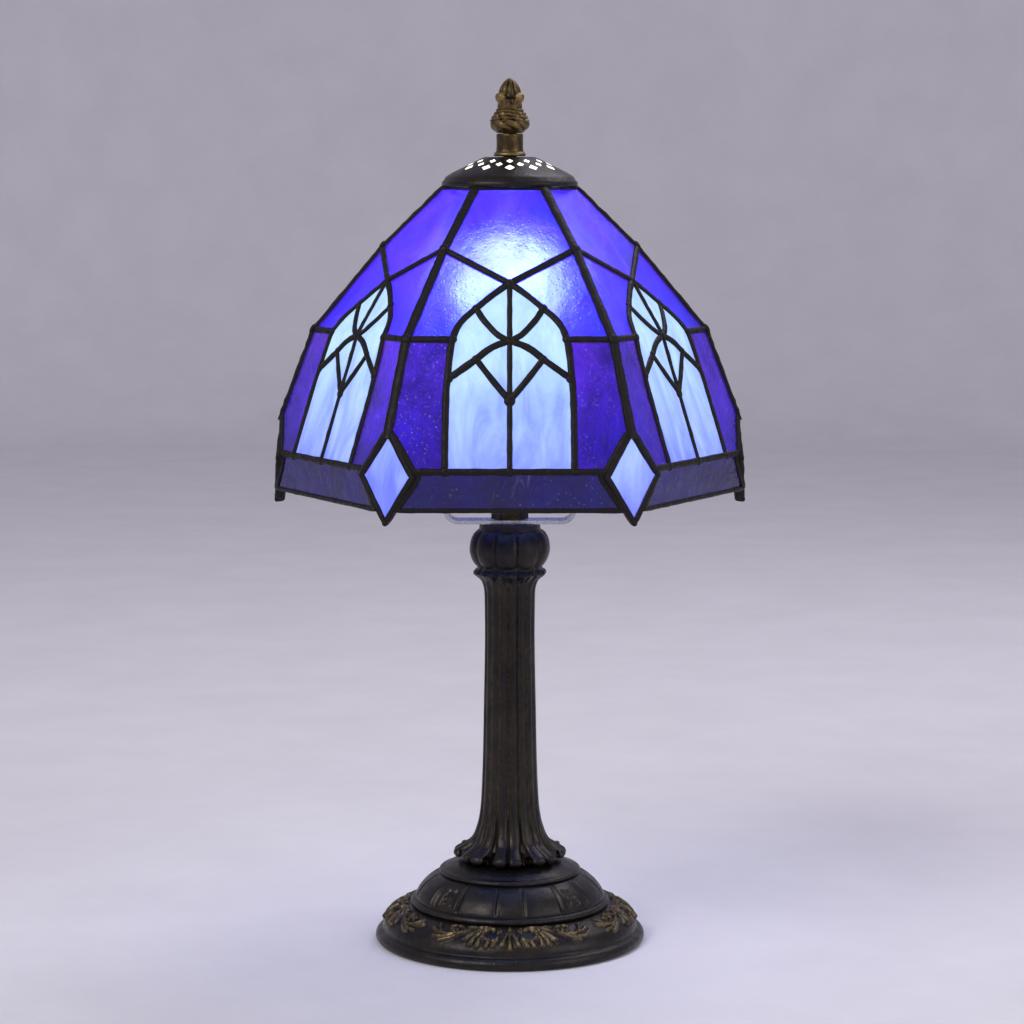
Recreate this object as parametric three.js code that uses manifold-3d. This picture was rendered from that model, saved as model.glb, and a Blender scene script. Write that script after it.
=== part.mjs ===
// Leaded-glass table lamp: a six-sided glass shade carried by a harp on a cast column and foot.
// Millimetres, +Z up. Origin on the lamp's axis, at the surface that the lamp stands on. Front is -Y.
import * as THREE from 'three';
import { mergeGeometries, mergeVertices } from 'three/addons/utils/BufferGeometryUtils.js';
import Module from 'manifold-3d';

const wasm = await Module();
wasm.setup();

// ---------- driving dimensions ----------

const GAP = 0.3; // clearance between neighbouring pieces
const SIDES = 6; // sides of the shade
const ROUND = 32; // facets of a turned piece
const SMALL_ROUND = 16; // facets of a small turned piece

// Shade: corner radius and height at each fold, from the top rim to the skirt's lower edge
const TOP = { r: 29, z: 330.8 };
const KNEE_1 = { r: 55, z: 305.3 };
const KNEE_2 = { r: 85.3, z: 269.4 };
const JOINT = { r: 105.6, z: 216.7 };
const HEM = { r: 104, z: 199.8 };
const ARCH_APEX_Z = 291.7; // where the crown's point meets the top of the pointed arch
const ARCH = [
  [13.7, 280.9], [21.9, 274.2], [23.4, KNEE_2.z], [24.3, 264.6], [25.9, 247.3], [26.3, JOINT.z],
];

// Flat diamond over each corner, to the outside of its came. Each unit of height leans it in by lean.
const DIAMOND = { face: 100, z: 214.5, half_width: 13.4, top: 234.3, bottom: 193.2, lean: 0.08 };
const DIAMOND_CAME = { width: 2.3, proud: 0.6, depth: 5.6, overlap: 0.5 };
const DIAMOND_GLASS = 2.4;

const GLASS_DEPTH = 2.8; // glass, measured level
const CAME = { proud: 0.45, depth: 3.5 };
// Half widths of the cames
const HALF = { ridge: 1.95, line: 1.35, bar: 1.25, rim: 0.9, hem: 1.6, diamond: 2.7 };

// Heights of the turned stack
const FELT_TOP = 1.5;
const FOOT_TOP = 36.6;
const COLUMN_TOP = 184.6;
const SADDLE = { z: COLUMN_TOP + GAP, thick: 1.6, width: 12, bend: 6.3 };
const EAR = { x: 28.9, top: 203, width: 5 };
const PIPE = { r: 4.8, bore: 3.3, bottom: 20, top: 197 };
const PIPE_HOLE = PIPE.r + 0.5;
const HARP = { wire: 1.6, leg_x: 31, leg_bottom: 193.6, top: 338.2 };
const HARP_PAD = { r: 7, low: 336.5, high: 339.7 };
const STUD = { thread: 3.1, top: 357.4, shank: 2.2 };
const STUD_DISC = { r: 9.5, low: 340, high: 341.8 };
const STUD_HEAD = { r: 4, low: 334, high: 335.7 };
const CAP = { r: 29.2, rim_z: 331.1, edge: [27.8, 334.6], crown: [10.6, 343.3], wall: 1.2 };
const VENT_ROWS = [
  { r: 14.5, size: 3, turn: 0 }, { r: 17.3, size: 3.2, turn: 15 }, { r: 20, size: 4.3, turn: 0 },
];
const VENTS_PER_ROW = 12;
const COLLAR = { r: 5.7, flange: 6.85, z: [343.6, 353.2] };
const SOCKET = { r: 16.4, cap_z: [190.9, 219], shell_top: 249, inner_r: 14.9, bore: 13.5 };
const BULB = { r: 23.5, z: 285, neck: 11.6, base_r: 13, base_z: [222.4, 244], wall: 1 };

// ---------- materials ----------

function metal(color, roughness) {
  return new THREE.MeshStandardMaterial({ color, roughness, metalness: 1 });
}

function plain(color, roughness) {
  return new THREE.MeshStandardMaterial({ color, roughness, metalness: 0 });
}

function glass(color, opacity) {
  return new THREE.MeshStandardMaterial({ color, roughness: 0.15, metalness: 0, opacity, transparent: true });
}

const bronze = metal(0x2a241c, 0.45);
const lead = metal(0x17130f, 0.55);
const brass = metal(0x8a6a34, 0.35);
const steel = metal(0xb8bcc2, 0.3);
const felt = plain(0x18221c, 0.95);
const rubber = plain(0x111111, 0.7);
const phenolic = plain(0x1a1512, 0.5);
const porcelain = plain(0xe6e2d8, 0.35);
const blueGlass = glass(0x2410c8, 0.7);
const opalGlass = glass(0xa8b4ee, 0.9);
const bulbGlass = glass(0xf4f2ea, 0.85);

// ---------- solids ----------

function toManifold(geometry) {
  const source = geometry.clone();
  source.deleteAttribute('normal');
  source.deleteAttribute('uv');
  const merged = mergeVertices(source, 1e-4);
  return new wasm.Manifold(new wasm.Mesh({
    numProp: 3,
    vertProperties: new Float32Array(merged.attributes.position.array),
    triVerts: new Uint32Array(merged.index.array),
  }));
}

function toGeometry(manifold) {
  const mesh = manifold.getMesh();
  const geometry = new THREE.BufferGeometry();
  geometry.setAttribute('position', new THREE.BufferAttribute(new Float32Array(mesh.vertProperties), 3));
  geometry.setIndex(Array.from(mesh.triVerts));
  return geometry;
}

function join(...geometries) {
  return toGeometry(geometries.map(toManifold).reduce((all, next) => all.add(next)));
}

function cut(geometry, ...tools) {
  return toGeometry(tools.map(toManifold).reduce((left, tool) => left.subtract(tool), toManifold(geometry)));
}

// Solid of revolution about Z. The profile is [radius, z] points: up the outside, then down the inside.
function turned(profile, facets = ROUND) {
  const points = profile.map(([r, z]) => new THREE.Vector2(r, z));
  return new THREE.LatheGeometry(points, facets).rotateX(Math.PI / 2);
}

// Ring with a rectangular section
function ring(inner, outer, low, high, facets = ROUND) {
  return turned([[inner, low], [outer, low], [outer, high], [inner, high], [inner, low]], facets);
}

function rod(radius, low, high, facets = SMALL_ROUND) {
  return turned([[0, low], [radius, low], [radius, high], [0, high]], facets);
}

function hexNut(flats, bore, low, height) {
  const outline = new THREE.Shape();
  for (let corner = 0; corner < 6; corner += 1) {
    const angle = corner * Math.PI / 3;
    const radius = flats / Math.sqrt(3);
    outline[corner ? 'lineTo' : 'moveTo'](radius * Math.cos(angle), radius * Math.sin(angle));
  }
  outline.closePath();
  outline.holes.push(new THREE.Path().absarc(0, 0, bore, 0, 2 * Math.PI, true));
  const solid = new THREE.ExtrudeGeometry(outline, { depth: height, bevelEnabled: false, curveSegments: 10 });
  return solid.translate(0, 0, low);
}

// ---------- one side of the shade, in panel coordinates (u across, z up) ----------

function between(z, a, b) {
  return a.r + (b.r - a.r) * (z - a.z) / (b.z - a.z);
}

const toApothem = Math.cos(Math.PI / SIDES);
const halfSide = Math.tan(Math.PI / SIDES);

// Corner radius of the shade at height z
function cornerRadius(z) {
  if (z >= KNEE_1.z) return between(z, KNEE_1, TOP);
  if (z >= KNEE_2.z) return between(z, KNEE_2, KNEE_1);
  if (z >= JOINT.z) return between(z, JOINT, KNEE_2);
  return between(z, HEM, JOINT);
}

function crownApothem(z) {
  return toApothem * between(z, KNEE_1, TOP);
}

// Height of the crown's lower V at u
function crownEdge(u) {
  return ARCH_APEX_Z + (KNEE_1.z - ARCH_APEX_Z) * Math.abs(u) / (KNEE_1.r / 2);
}

// Distance of the outer face from the axis at (u, z)
function apothem(u, z) {
  const across = Math.abs(u);
  if (z < KNEE_2.z) return toApothem * cornerRadius(z);
  if (across > KNEE_1.r / 2) return toApothem * cornerRadius(z);
  const edge = crownEdge(across);
  if (z >= edge) return crownApothem(z);
  const fall = (edge - z) / (edge - KNEE_2.z);
  return crownApothem(edge) + (toApothem * KNEE_2.r - crownApothem(edge)) * fall;
}

// Moves each edge of a closed outline inwards. One distance per edge; edge i runs from point i.
function inset(outline, distances) {
  const turn = Math.sign(THREE.ShapeUtils.area(outline));
  const count = outline.length;
  const lines = outline.map((start, i) => {
    const along = outline[(i + 1) % count].clone().sub(start).normalize();
    const inward = new THREE.Vector2(-along.y, along.x).multiplyScalar(turn * distances[i % distances.length]);
    return { start: start.clone().add(inward), along };
  });
  return lines.map((line, i) => {
    const before = lines[(i + count - 1) % count];
    const cross = before.along.cross(line.along);
    if (Math.abs(cross) < 1e-9) return line.start;
    const reach = line.start.clone().sub(before.start).cross(line.along) / cross;
    return before.start.clone().addScaledVector(before.along, reach);
  });
}

function onRidge(point) {
  return point.x * Math.sign(point.x) > cornerRadius(point.y) / 2 - 1e-6;
}

function outlineOf(points) {
  return points.map(([u, z]) => new THREE.Vector2(u, z));
}

// Plate that follows the panel's face. Regions share points along a fold. A mitred plate reaches the
// shade's ridges and stays open there, to share its edge with the next side's plate.
function panelPlate(regions, proud, depth, mitred = false) {
  const points = [];
  const indexOf = new Map();
  const add = (point) => {
    const key = `${point.x.toFixed(4)},${point.y.toFixed(4)}`;
    if (!indexOf.has(key)) {
      indexOf.set(key, points.length);
      points.push(point);
    }
    return indexOf.get(key);
  };
  const faces = [];
  for (const outline of regions) {
    const loop = THREE.ShapeUtils.isClockWise(outline) ? outline.slice().reverse() : outline;
    for (const face of THREE.ShapeUtils.triangulateShape(loop, [])) {
      faces.push(face.map((i) => add(loop[i])));
    }
  }
  const edges = new Set(faces.flatMap(([a, b, c]) => [`${a},${b}`, `${b},${c}`, `${c},${a}`]));
  const count = points.length;
  const index = faces.flatMap(([a, b, c]) => [a, b, c, c + count, b + count, a + count]);
  for (const edge of edges) {
    const [a, b] = edge.split(',').map(Number);
    const open = mitred && onRidge(points[a]) && onRidge(points[b]) && points[a].x * points[b].x > 0;
    if (!open && !edges.has(`${b},${a}`)) index.push(a, a + count, b, b, a + count, b + count);
  }
  const position = [0, depth].flatMap((inward) => points.flatMap((point) => {
    const out = apothem(point.x, point.y) + proud - inward;
    const reach = out * halfSide * Math.sign(point.x);
    return [mitred && onRidge(point) ? reach : point.x, -out, point.y];
  }));
  const geometry = new THREE.BufferGeometry();
  geometry.setAttribute('position', new THREE.Float32BufferAttribute(position, 3));
  geometry.setIndex(index);
  return geometry;
}

// u where a side's strips end at height z, a little way into the diamond's frame
function diamondEdge(z) {
  const span = z > DIAMOND.z ? DIAMOND.top - DIAMOND.z : DIAMOND.z - DIAMOND.bottom;
  const half = DIAMOND.half_width * (1 - Math.abs(z - DIAMOND.z) / span);
  const face = toApothem * cornerRadius(z);
  return face * halfSide - half / toApothem + DIAMOND_CAME.overlap;
}

const ridge = (point) => [point.r / 2, point.z];
const notchTop = { z: DIAMOND.top - 2, r: cornerRadius(DIAMOND.top - 2) };
const diamondSide = [diamondEdge(JOINT.z), JOINT.z];
const diamondWaist = [diamondEdge(DIAMOND.z), DIAMOND.z];
const diamondFoot = [diamondEdge(HEM.z), HEM.z];
const mirrored = (points) => points.map(([u, z]) => [-u, z]).reverse();

const crownEnd = [ridge(TOP), ridge(KNEE_1)];
const crownOutline = outlineOf([...crownEnd, [0, ARCH_APEX_Z], ...mirrored(crownEnd)]);
const crownEdges = [HALF.ridge, HALF.line, HALF.line, HALF.ridge, HALF.rim];

const windowOutline = outlineOf([[0, ARCH_APEX_Z], ...ARCH, ...mirrored(ARCH)]);
const windowEdges = windowOutline.map((_, i) => (i === ARCH.length ? HALF.bar : HALF.line));

const flankOutline = outlineOf([
  [0, ARCH_APEX_Z], ridge(KNEE_1), ridge(KNEE_2), ridge(notchTop), diamondSide, ...ARCH.slice().reverse(),
]);
const flankEdges = [
  HALF.line, HALF.ridge, HALF.ridge, HALF.diamond, HALF.bar, ...ARCH.map(() => HALF.line),
];

const skirtEnd = [diamondSide, diamondWaist, diamondFoot];
const skirtOutline = outlineOf([ARCH.at(-1), ...skirtEnd, ...mirrored([ARCH.at(-1), ...skirtEnd])]);
const skirtEdges = [
  HALF.bar, HALF.diamond, HALF.diamond, HALF.hem, HALF.diamond, HALF.diamond, HALF.bar, HALF.bar,
];

const grow = (edges, extra) => edges.map((edge) => edge + extra);
const flip = (outline) => outline.map((point) => new THREE.Vector2(-point.x, point.y));

// Splits an outline at the fold line of the second knee, between its points i and j
function folded(outline, i, j) {
  return [[...outline.slice(0, i + 1), ...outline.slice(j)], outline.slice(i, j + 1)];
}

function crownGlass() {
  return panelPlate([inset(crownOutline, grow(crownEdges, GAP))], 0, GLASS_DEPTH);
}

function windowGlass() {
  const fold = ARCH.findIndex(([, z]) => z === KNEE_2.z) + 1;
  const outline = inset(windowOutline, grow(windowEdges, GAP));
  return panelPlate(folded(outline, fold, outline.length - fold), 0, GLASS_DEPTH);
}

function flankGlass(side) {
  const outline = inset(flankOutline, grow(flankEdges, GAP));
  const fold = flankOutline.findIndex((point, i) => i > 2 && point.y === KNEE_2.z);
  const placed = side > 0 ? outline : flip(outline);
  return panelPlate(folded(placed, 2, fold), 0, GLASS_DEPTH);
}

function skirtGlass() {
  return panelPlate([inset(skirtOutline, grow(skirtEdges, GAP))], 0, GLASS_DEPTH);
}

// Upright diamond outline, shrunk on every side by the given distance
function diamondShape(shrink) {
  const { half_width: half, top, bottom, z: middle } = DIAMOND;
  const outline = outlineOf([[half, 0], [0, top - middle], [-half, 0], [0, bottom - middle]]);
  return inset(outline, [shrink]);
}

// Diamond plate on the corner at azimuth 30 degrees from the panel's middle
function diamondPlate(shape, proud, depth) {
  const solid = new THREE.ExtrudeGeometry(shape, { depth, bevelEnabled: false });
  solid.rotateX(Math.PI / 2).translate(0, depth - proud, 0).rotateX(-Math.atan(DIAMOND.lean));
  return solid.translate(0, -DIAMOND.face, DIAMOND.z).rotateZ(Math.PI / SIDES);
}

function diamondGlass() {
  return diamondPlate(new THREE.Shape(diamondShape(DIAMOND_CAME.width + GAP)), 0, DIAMOND_GLASS);
}

// ---------- came lattice: soldered strips round every pane ----------

// Strips round one pane, from the middle of its came inwards
function stripsRound(outline, widths) {
  const inner = inset(outline, widths);
  return outline.map((start, i) => {
    const next = (i + 1) % outline.length;
    return [start, outline[next], inner[next], inner[i]];
  });
}

function latticeSide() {
  const flank = stripsRound(flankOutline, flankEdges);
  const strips = [
    ...stripsRound(crownOutline, crownEdges),
    ...stripsRound(windowOutline, windowEdges),
    ...flank,
    ...flank.map(flip),
    ...stripsRound(skirtOutline, skirtEdges),
  ];
  return panelPlate(strips, CAME.proud, CAME.depth, true);
}

function diamondFrame() {
  const frame = new THREE.Shape(diamondShape(0));
  frame.holes.push(new THREE.Path(diamondShape(DIAMOND_CAME.width).reverse()));
  return diamondPlate(frame, DIAMOND_CAME.proud, DIAMOND_CAME.depth);
}

function cameLattice() {
  const turns = Array.from({ length: SIDES }, (_, side) => side * 2 * Math.PI / SIDES);
  const strips = mergeVertices(mergeGeometries(turns.map((turn) => latticeSide().rotateZ(turn))), 1e-3);
  return join(strips, ...turns.map((turn) => diamondFrame().rotateZ(turn)));
}

// ---------- foot and column ----------

function baseFoot() {
  const outside = [
    [57.3, 0.5], [58.3, 0.5], [59.3, 2.4], [58.4, 4.6], [56.6, 6.2], [55.2, 9.4], [50.5, 13.2], [44, 16],
    [42.6, 18.4], [40.2, 22.4], [36.4, 26.8], [30.7, 30.2], [30.9, 31.6], [23.5, 35.5],
    [PIPE_HOLE, FOOT_TOP],
  ];
  const inside = [
    [PIPE_HOLE, 30.5], [24, 31.2], [33.4, 24.6], [38.6, 17.2], [40.6, 13.6], [50.5, 8.8], [53.6, 1.8],
    [57.3, 1.8], [57.3, 0.5],
  ];
  const inletHole = rod(4, 38, 62).rotateX(-Math.PI / 2).translate(0, 0, 10);
  return cut(turned([...outside, ...inside], ROUND), inletHole);
}

function cordGrommet() {
  const bush = [[2.6, 45], [3.7, 45], [3.7, 56.6], [3.2, 57.4], [2.6, 57.4], [2.6, 45]];
  return turned(bush, 16).rotateX(-Math.PI / 2).translate(0, 0, 10);
}

function column() {
  const outside = [
    [PIPE_HOLE, 36.9], [22.8, 36.4], [24.6, 38.2], [23.8, 40.6], [16.4, 44.2], [14.2, 48.4],
    [12.4, 62], [11.5, 82], [10.6, 133], [10.9, 157], [15.5, 163], [14.2, 165.4], [17.2, 171.8],
    [17.2, 176], [13.3, 182], [13.2, COLUMN_TOP],
  ];
  const inside = [
    [PIPE_HOLE, COLUMN_TOP], [PIPE_HOLE, 174], [8, 170], [8, 50], [PIPE_HOLE, 45], [PIPE_HOLE, 36.9],
  ];
  return turned([...outside, ...inside], 20);
}

// ---------- harp ----------

function harpSaddle() {
  const { z, thick, width, bend } = SADDLE;
  const { x, top, width: earWidth } = EAR;
  const strip = new THREE.Shape();
  strip.moveTo(x, top);
  strip.lineTo(x - thick, top);
  strip.lineTo(x - thick, z + bend);
  strip.absarc(x - bend, z + bend, bend - thick, 0, -Math.PI / 2, true);
  strip.lineTo(-x + bend, z + thick);
  strip.absarc(-x + bend, z + bend, bend - thick, -Math.PI / 2, -Math.PI, true);
  strip.lineTo(-x + thick, top);
  strip.lineTo(-x, top);
  strip.lineTo(-x, z + bend);
  strip.absarc(-x + bend, z + bend, bend, Math.PI, 1.5 * Math.PI, false);
  strip.lineTo(x - bend, z);
  strip.absarc(x - bend, z + bend, bend, -Math.PI / 2, 0, false);
  const band = new THREE.ExtrudeGeometry(strip, { depth: width, bevelEnabled: false, curveSegments: 6 });
  band.rotateX(Math.PI / 2).translate(0, width / 2, 0);
  const notches = [-1, 1].flatMap((side) => [-1, 1].map((face) => {
    const notch = new THREE.BoxGeometry(2 * thick + 2, width, top);
    return notch.translate(side * (x - thick / 2), face * (earWidth + width) / 2, z + bend + top / 2);
  }));
  return cut(band, ...notches, rod(PIPE_HOLE, z - 1, z + thick + 1));
}

function harpSleeve(side) {
  const outer = { x: 26.3, width: 7.4, depth: 8 };
  const wall = 0.75;
  const box = (Outline, shrink) => {
    const half = [outer.width / 2 - shrink, outer.depth / 2 - shrink];
    return new Outline(outlineOf([half, [-half[0], half[1]], [-half[0], -half[1]], [half[0], -half[1]]]));
  };
  const section = box(THREE.Shape, 0);
  section.holes.push(box(THREE.Path, wall));
  const sleeve = new THREE.ExtrudeGeometry(section, { depth: 11.5, bevelEnabled: false });
  return sleeve.translate(side * (outer.x + outer.width / 2), 0, 192.8);
}

// Half of the loop from its top to the end of its leg, x and z
const HARP_HALF = [
  [7, 337.4], [12.5, 333], [17.5, 326], [26.5, 311], [32.5, 294], [35.3, 272], [35.3, 250], [33.4, 225],
  [HARP.leg_x, 205], [HARP.leg_x, HARP.leg_bottom],
];

function harpLoop() {
  const right = HARP_HALF.map(([x, z]) => new THREE.Vector3(x, 0, z));
  const left = HARP_HALF.map(([x, z]) => new THREE.Vector3(-x, 0, z)).reverse();
  const route = new THREE.CatmullRomCurve3([...left, new THREE.Vector3(0, 0, HARP.top), ...right]);
  const section = new THREE.Shape().absarc(0, 0, HARP.wire, 0, 2 * Math.PI);
  const wire = new THREE.ExtrudeGeometry(section, { steps: 36, extrudePath: route, curveSegments: 3 });
  const pad = rod(HARP_PAD.r, HARP_PAD.low, HARP_PAD.high);
  const bore = rod(STUD.shank + 0.4, HARP_PAD.low - 5, HARP_PAD.high + 5, 12);
  return cut(join(wire, pad), bore);
}

function harpStud() {
  const { thread, top, shank } = STUD;
  const { r: disc, low, high } = STUD_DISC;
  const { r: head, low: foot, high: under } = STUD_HEAD;
  return turned([
    [0, foot], [head, foot], [head, under], [shank, under], [shank, low], [disc, low], [disc, high],
    [thread, high], [thread, top - 0.6], [thread - 0.6, top], [0, top],
  ], SMALL_ROUND);
}

// ---------- socket and bulb ----------

function socketCap() {
  const [low, high] = SOCKET.cap_z;
  return turned([
    [PIPE_HOLE, low], [8.5, low], [9.6, 197], [12.8, 211], [16.4, 217], [16.4, high], [15, high],
    [15, 217.6], [11.6, 212], [8.4, 198.6], [PIPE_HOLE, 198.6], [PIPE_HOLE, low],
  ], SMALL_ROUND);
}

function socketShell() {
  return ring(SOCKET.inner_r + GAP, SOCKET.r, SOCKET.cap_z[1] + GAP, SOCKET.shell_top, SMALL_ROUND);
}

function socketInterior() {
  const floor = 215;
  const seat = 218;
  const r = SOCKET.inner_r - 0.4;
  return turned([
    [0, floor], [10.5, floor], [r, 219.2], [r, 246], [SOCKET.bore, 246], [SOCKET.bore, 221],
    [12, seat], [0, seat],
  ], SMALL_ROUND);
}

function bulbContact() {
  return turned([[0, 218.4], [4.2, 218.4], [4.6, 219.4], [8.2, 222], [0, 222]], SMALL_ROUND);
}

function bulbBase() {
  const [low, high] = BULB.base_z;
  const r = BULB.base_r;
  return turned([
    [0, low], [8.6, low], [r, low + 3.2], [r, high], [r - 1, high], [r - 1, low + 4],
    [8.2, low + 1.2], [0, low + 1.2],
  ], SMALL_ROUND);
}

function bulbGlobe() {
  const envelope = (shrink) => {
    const r = BULB.r - shrink;
    const neck = BULB.neck - shrink;
    const points = [[neck, 228], [neck, 245], [neck + 1.6, 250]];
    for (let degrees = -50; degrees < 90; degrees += 20) {
      const angle = THREE.MathUtils.degToRad(degrees);
      points.push([r * Math.cos(angle), BULB.z + r * Math.sin(angle)]);
    }
    return [...points, [0, BULB.z + r]];
  };
  return turned([...envelope(0), ...envelope(BULB.wall).reverse(), [BULB.neck, 228]], 20);
}

// ---------- cap, ring and finial ----------

function ventedCap() {
  const { r, rim_z: rim, edge, crown, wall } = CAP;
  const hole = STUD.thread + 0.5;
  const shell = turned([
    [r - 1.5, rim], [r, rim], [r, rim + 1.6], [edge[0], edge[1]], [crown[0], crown[1]], [hole, crown[1]],
    [hole, crown[1] - wall], [crown[0] - 0.4, crown[1] - wall], [edge[0] - 0.9, edge[1] - wall],
    [r - 1.5, rim],
  ], 24);
  const vents = VENT_ROWS.flatMap((row) => Array.from({ length: VENTS_PER_ROW }, (_, i) => {
    const punch = new THREE.CylinderGeometry(row.size / 2, row.size / 2, 20, 4);
    punch.rotateX(Math.PI / 2).translate(row.r, 0, CAP.edge[1]);
    const azimuth = 360 * i / VENTS_PER_ROW - 90 + row.turn;
    return punch.rotateZ(THREE.MathUtils.degToRad(azimuth));
  }));
  return cut(shell, ...vents);
}

function finialCollar() {
  const bore = STUD.thread + 0.4;
  const [low, high] = COLLAR.z;
  return turned([
    [bore, low], [COLLAR.flange, low], [COLLAR.flange, low + 1.4], [COLLAR.r, low + 2.2],
    [COLLAR.r, high - 0.6], [COLLAR.r - 0.4, high], [bore, high], [bore, low],
  ], SMALL_ROUND);
}

function finial() {
  const bore = STUD.thread + 0.4;
  const low = COLLAR.z[1] + GAP;
  return turned([
    [bore, low], [5.6, low], [7.2, 354.9], [8.3, 357.3], [7.6, 359.8], [6.3, 361.5], [5.3, 364.6],
    [6.5, 368.9], [4.6, 370], [4.1, 372.2], [2.6, 374.9], [0, 376.8], [0, 358.6], [bore, 358.6], [bore, low],
  ], SMALL_ROUND);
}

// ---------- assembly ----------

function mesh(name, geometry, material) {
  const part = new THREE.Mesh(geometry, material);
  part.name = name;
  return part;
}

const lamp = new THREE.Group();

const stand = new THREE.Group();
stand.add(
  mesh('felt_pad', rod(56.9, 0, FELT_TOP, ROUND), felt),
  mesh('base_foot', baseFoot(), bronze),
  mesh('base_washer', ring(PIPE_HOLE, 14, 28.6, 30.2, SMALL_ROUND), steel),
  mesh('base_nut', hexNut(14, PIPE_HOLE, 23.3, 5), steel),
  mesh('cord_grommet', cordGrommet(), rubber),
  mesh('lamp_pipe', ring(PIPE.bore, PIPE.r, PIPE.bottom, PIPE.top, 16), steel),
  mesh('column', column(), bronze),
  mesh('harp_saddle', harpSaddle(), steel),
  mesh('neck_nut', hexNut(14, PIPE_HOLE, SADDLE.z + SADDLE.thick + GAP, 3.7), brass),
  mesh('harp_loop', harpLoop(), steel),
  mesh('harp_sleeve_left', harpSleeve(-1), steel),
  mesh('harp_sleeve_right', harpSleeve(1), steel),
  mesh('socket_cap', socketCap(), phenolic),
  mesh('socket_shell', socketShell(), phenolic),
  mesh('socket_interior', socketInterior(), porcelain),
);
lamp.add(stand);

const bulb = new THREE.Group();
bulb.add(
  mesh('bulb_contact', bulbContact(), phenolic),
  mesh('bulb_base', bulbBase(), brass),
  mesh('bulb_globe', bulbGlobe(), bulbGlass),
);
lamp.add(bulb);

const shade = new THREE.Group();
shade.add(
  mesh('harp_stud', harpStud(), brass),
  mesh('aperture_ring', ring(19.4, 21, 328.5, 333.4, 20), brass),
  mesh('vented_cap', ventedCap(), bronze),
  mesh('came_lattice', cameLattice(), lead),
  mesh('finial_collar', finialCollar(), brass),
  mesh('finial', finial(), brass),
);
for (let side = 0; side < SIDES; side += 1) {
  const panel = new THREE.Group();
  const number = side + 1;
  panel.rotation.z = side * 2 * Math.PI / SIDES;
  panel.add(
    mesh(`crown_glass_${number}`, crownGlass(), blueGlass),
    mesh(`window_glass_${number}`, windowGlass(), opalGlass),
    mesh(`flank_glass_left_${number}`, flankGlass(-1), blueGlass),
    mesh(`flank_glass_right_${number}`, flankGlass(1), blueGlass),
    mesh(`skirt_glass_${number}`, skirtGlass(), blueGlass),
    mesh(`diamond_glass_${number}`, diamondGlass(), opalGlass),
  );
  shade.add(panel);
}
lamp.add(shade);

export default lamp;
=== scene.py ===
"""Leaded-glass table lamp: the looks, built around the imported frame.

Shapes are worked out in millimetres, in the frame's own axes: +Z up, front -Y, origin on the lamp's
axis at the surface it stands on. make_piece scales them to metres. Azimuths run from the front
towards +X.
"""
import math

import bmesh
import bpy
import numpy as np
from mathutils import Matrix, Vector, noise


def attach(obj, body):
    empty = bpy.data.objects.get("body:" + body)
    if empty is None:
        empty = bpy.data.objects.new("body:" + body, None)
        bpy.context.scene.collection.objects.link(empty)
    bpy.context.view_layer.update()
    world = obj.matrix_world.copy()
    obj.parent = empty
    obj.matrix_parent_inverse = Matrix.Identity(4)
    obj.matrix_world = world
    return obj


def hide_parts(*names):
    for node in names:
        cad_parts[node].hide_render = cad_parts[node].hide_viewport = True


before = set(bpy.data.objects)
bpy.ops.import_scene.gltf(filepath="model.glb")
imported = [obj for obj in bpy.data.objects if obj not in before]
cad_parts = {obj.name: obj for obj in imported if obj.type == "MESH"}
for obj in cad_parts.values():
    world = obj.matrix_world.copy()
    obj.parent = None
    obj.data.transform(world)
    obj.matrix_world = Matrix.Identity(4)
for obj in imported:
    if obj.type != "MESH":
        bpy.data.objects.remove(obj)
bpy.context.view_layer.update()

MM = 0.001
SIDES = 6

# Shade: corner radius and height at each fold
TOP = (29.0, 330.8)
KNEE_1 = (55.0, 305.3)
KNEE_2 = (85.3, 269.4)
JOINT = (105.6, 216.7)
HEM = (104.0, 199.8)
FOLDS = [TOP, KNEE_1, KNEE_2, JOINT, HEM]
ARCH_APEX = (0.0, 291.7)
GLASS_DEPTH = 2.8
UNDER_CAME = 0.5  # how far a pane stops short of the middle of its came

# Flat diamond over each corner: radius of its face at the waist, outline and lean
DIAMOND = {"face": 100.0, "z": 214.5, "half": 13.4, "top": 234.3, "bottom": 193.2, "lean": 0.08}
DIAMOND_RIM = 2.3

# Half widths of the cames
RIDGE_HALF, ARCH_HALF, BAR_HALF, TRACERY_HALF, BRACE_HALF = 1.95, 1.45, 1.4, 1.4, 1.5
MULLION_HALF, EDGE_HALF, BESIDE_DIAMOND_HALF = 1.15, 1.0, 1.7
PROUD = 0.75
CAME_DEPTH = GLASS_DEPTH + 0.7
BEAD_SIDES = 12
CAME_STEP = 2.2

BULB_CENTRE = (0.0, 0.0, 285.0)
BULB_RADIUS = 23.5
SHARP_EDGE = math.radians(50)


# ---------- mesh helpers ----------

def in_scene(name, data):
    thing = bpy.data.objects.new(name, data)
    bpy.context.scene.collection.objects.link(thing)
    return thing


def make_piece(name, points, faces, material, body, slot, replaces, wear=None):
    """A mesh in the frame's place, smooth except over sharp edges. wear is one value per point."""
    mesh = bpy.data.meshes.new(name)
    mesh.from_pydata([tuple(float(c) * MM for c in p) for p in points], [], faces)
    if wear is not None:
        layer = mesh.attributes.new("wear", "FLOAT", "POINT")
        layer.data.foreach_set("value", np.asarray(wear, np.float32).ravel())
    shell = bmesh.new()
    shell.from_mesh(mesh)
    bmesh.ops.recalc_face_normals(shell, faces=shell.faces)
    shell.to_mesh(mesh)
    shell.free()
    mesh.shade_smooth()
    mesh.set_sharp_from_angle(angle=SHARP_EDGE)
    mesh.materials.append(material)
    piece = in_scene(name, mesh)
    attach(piece, body)
    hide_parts(*replaces)
    return piece


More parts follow.
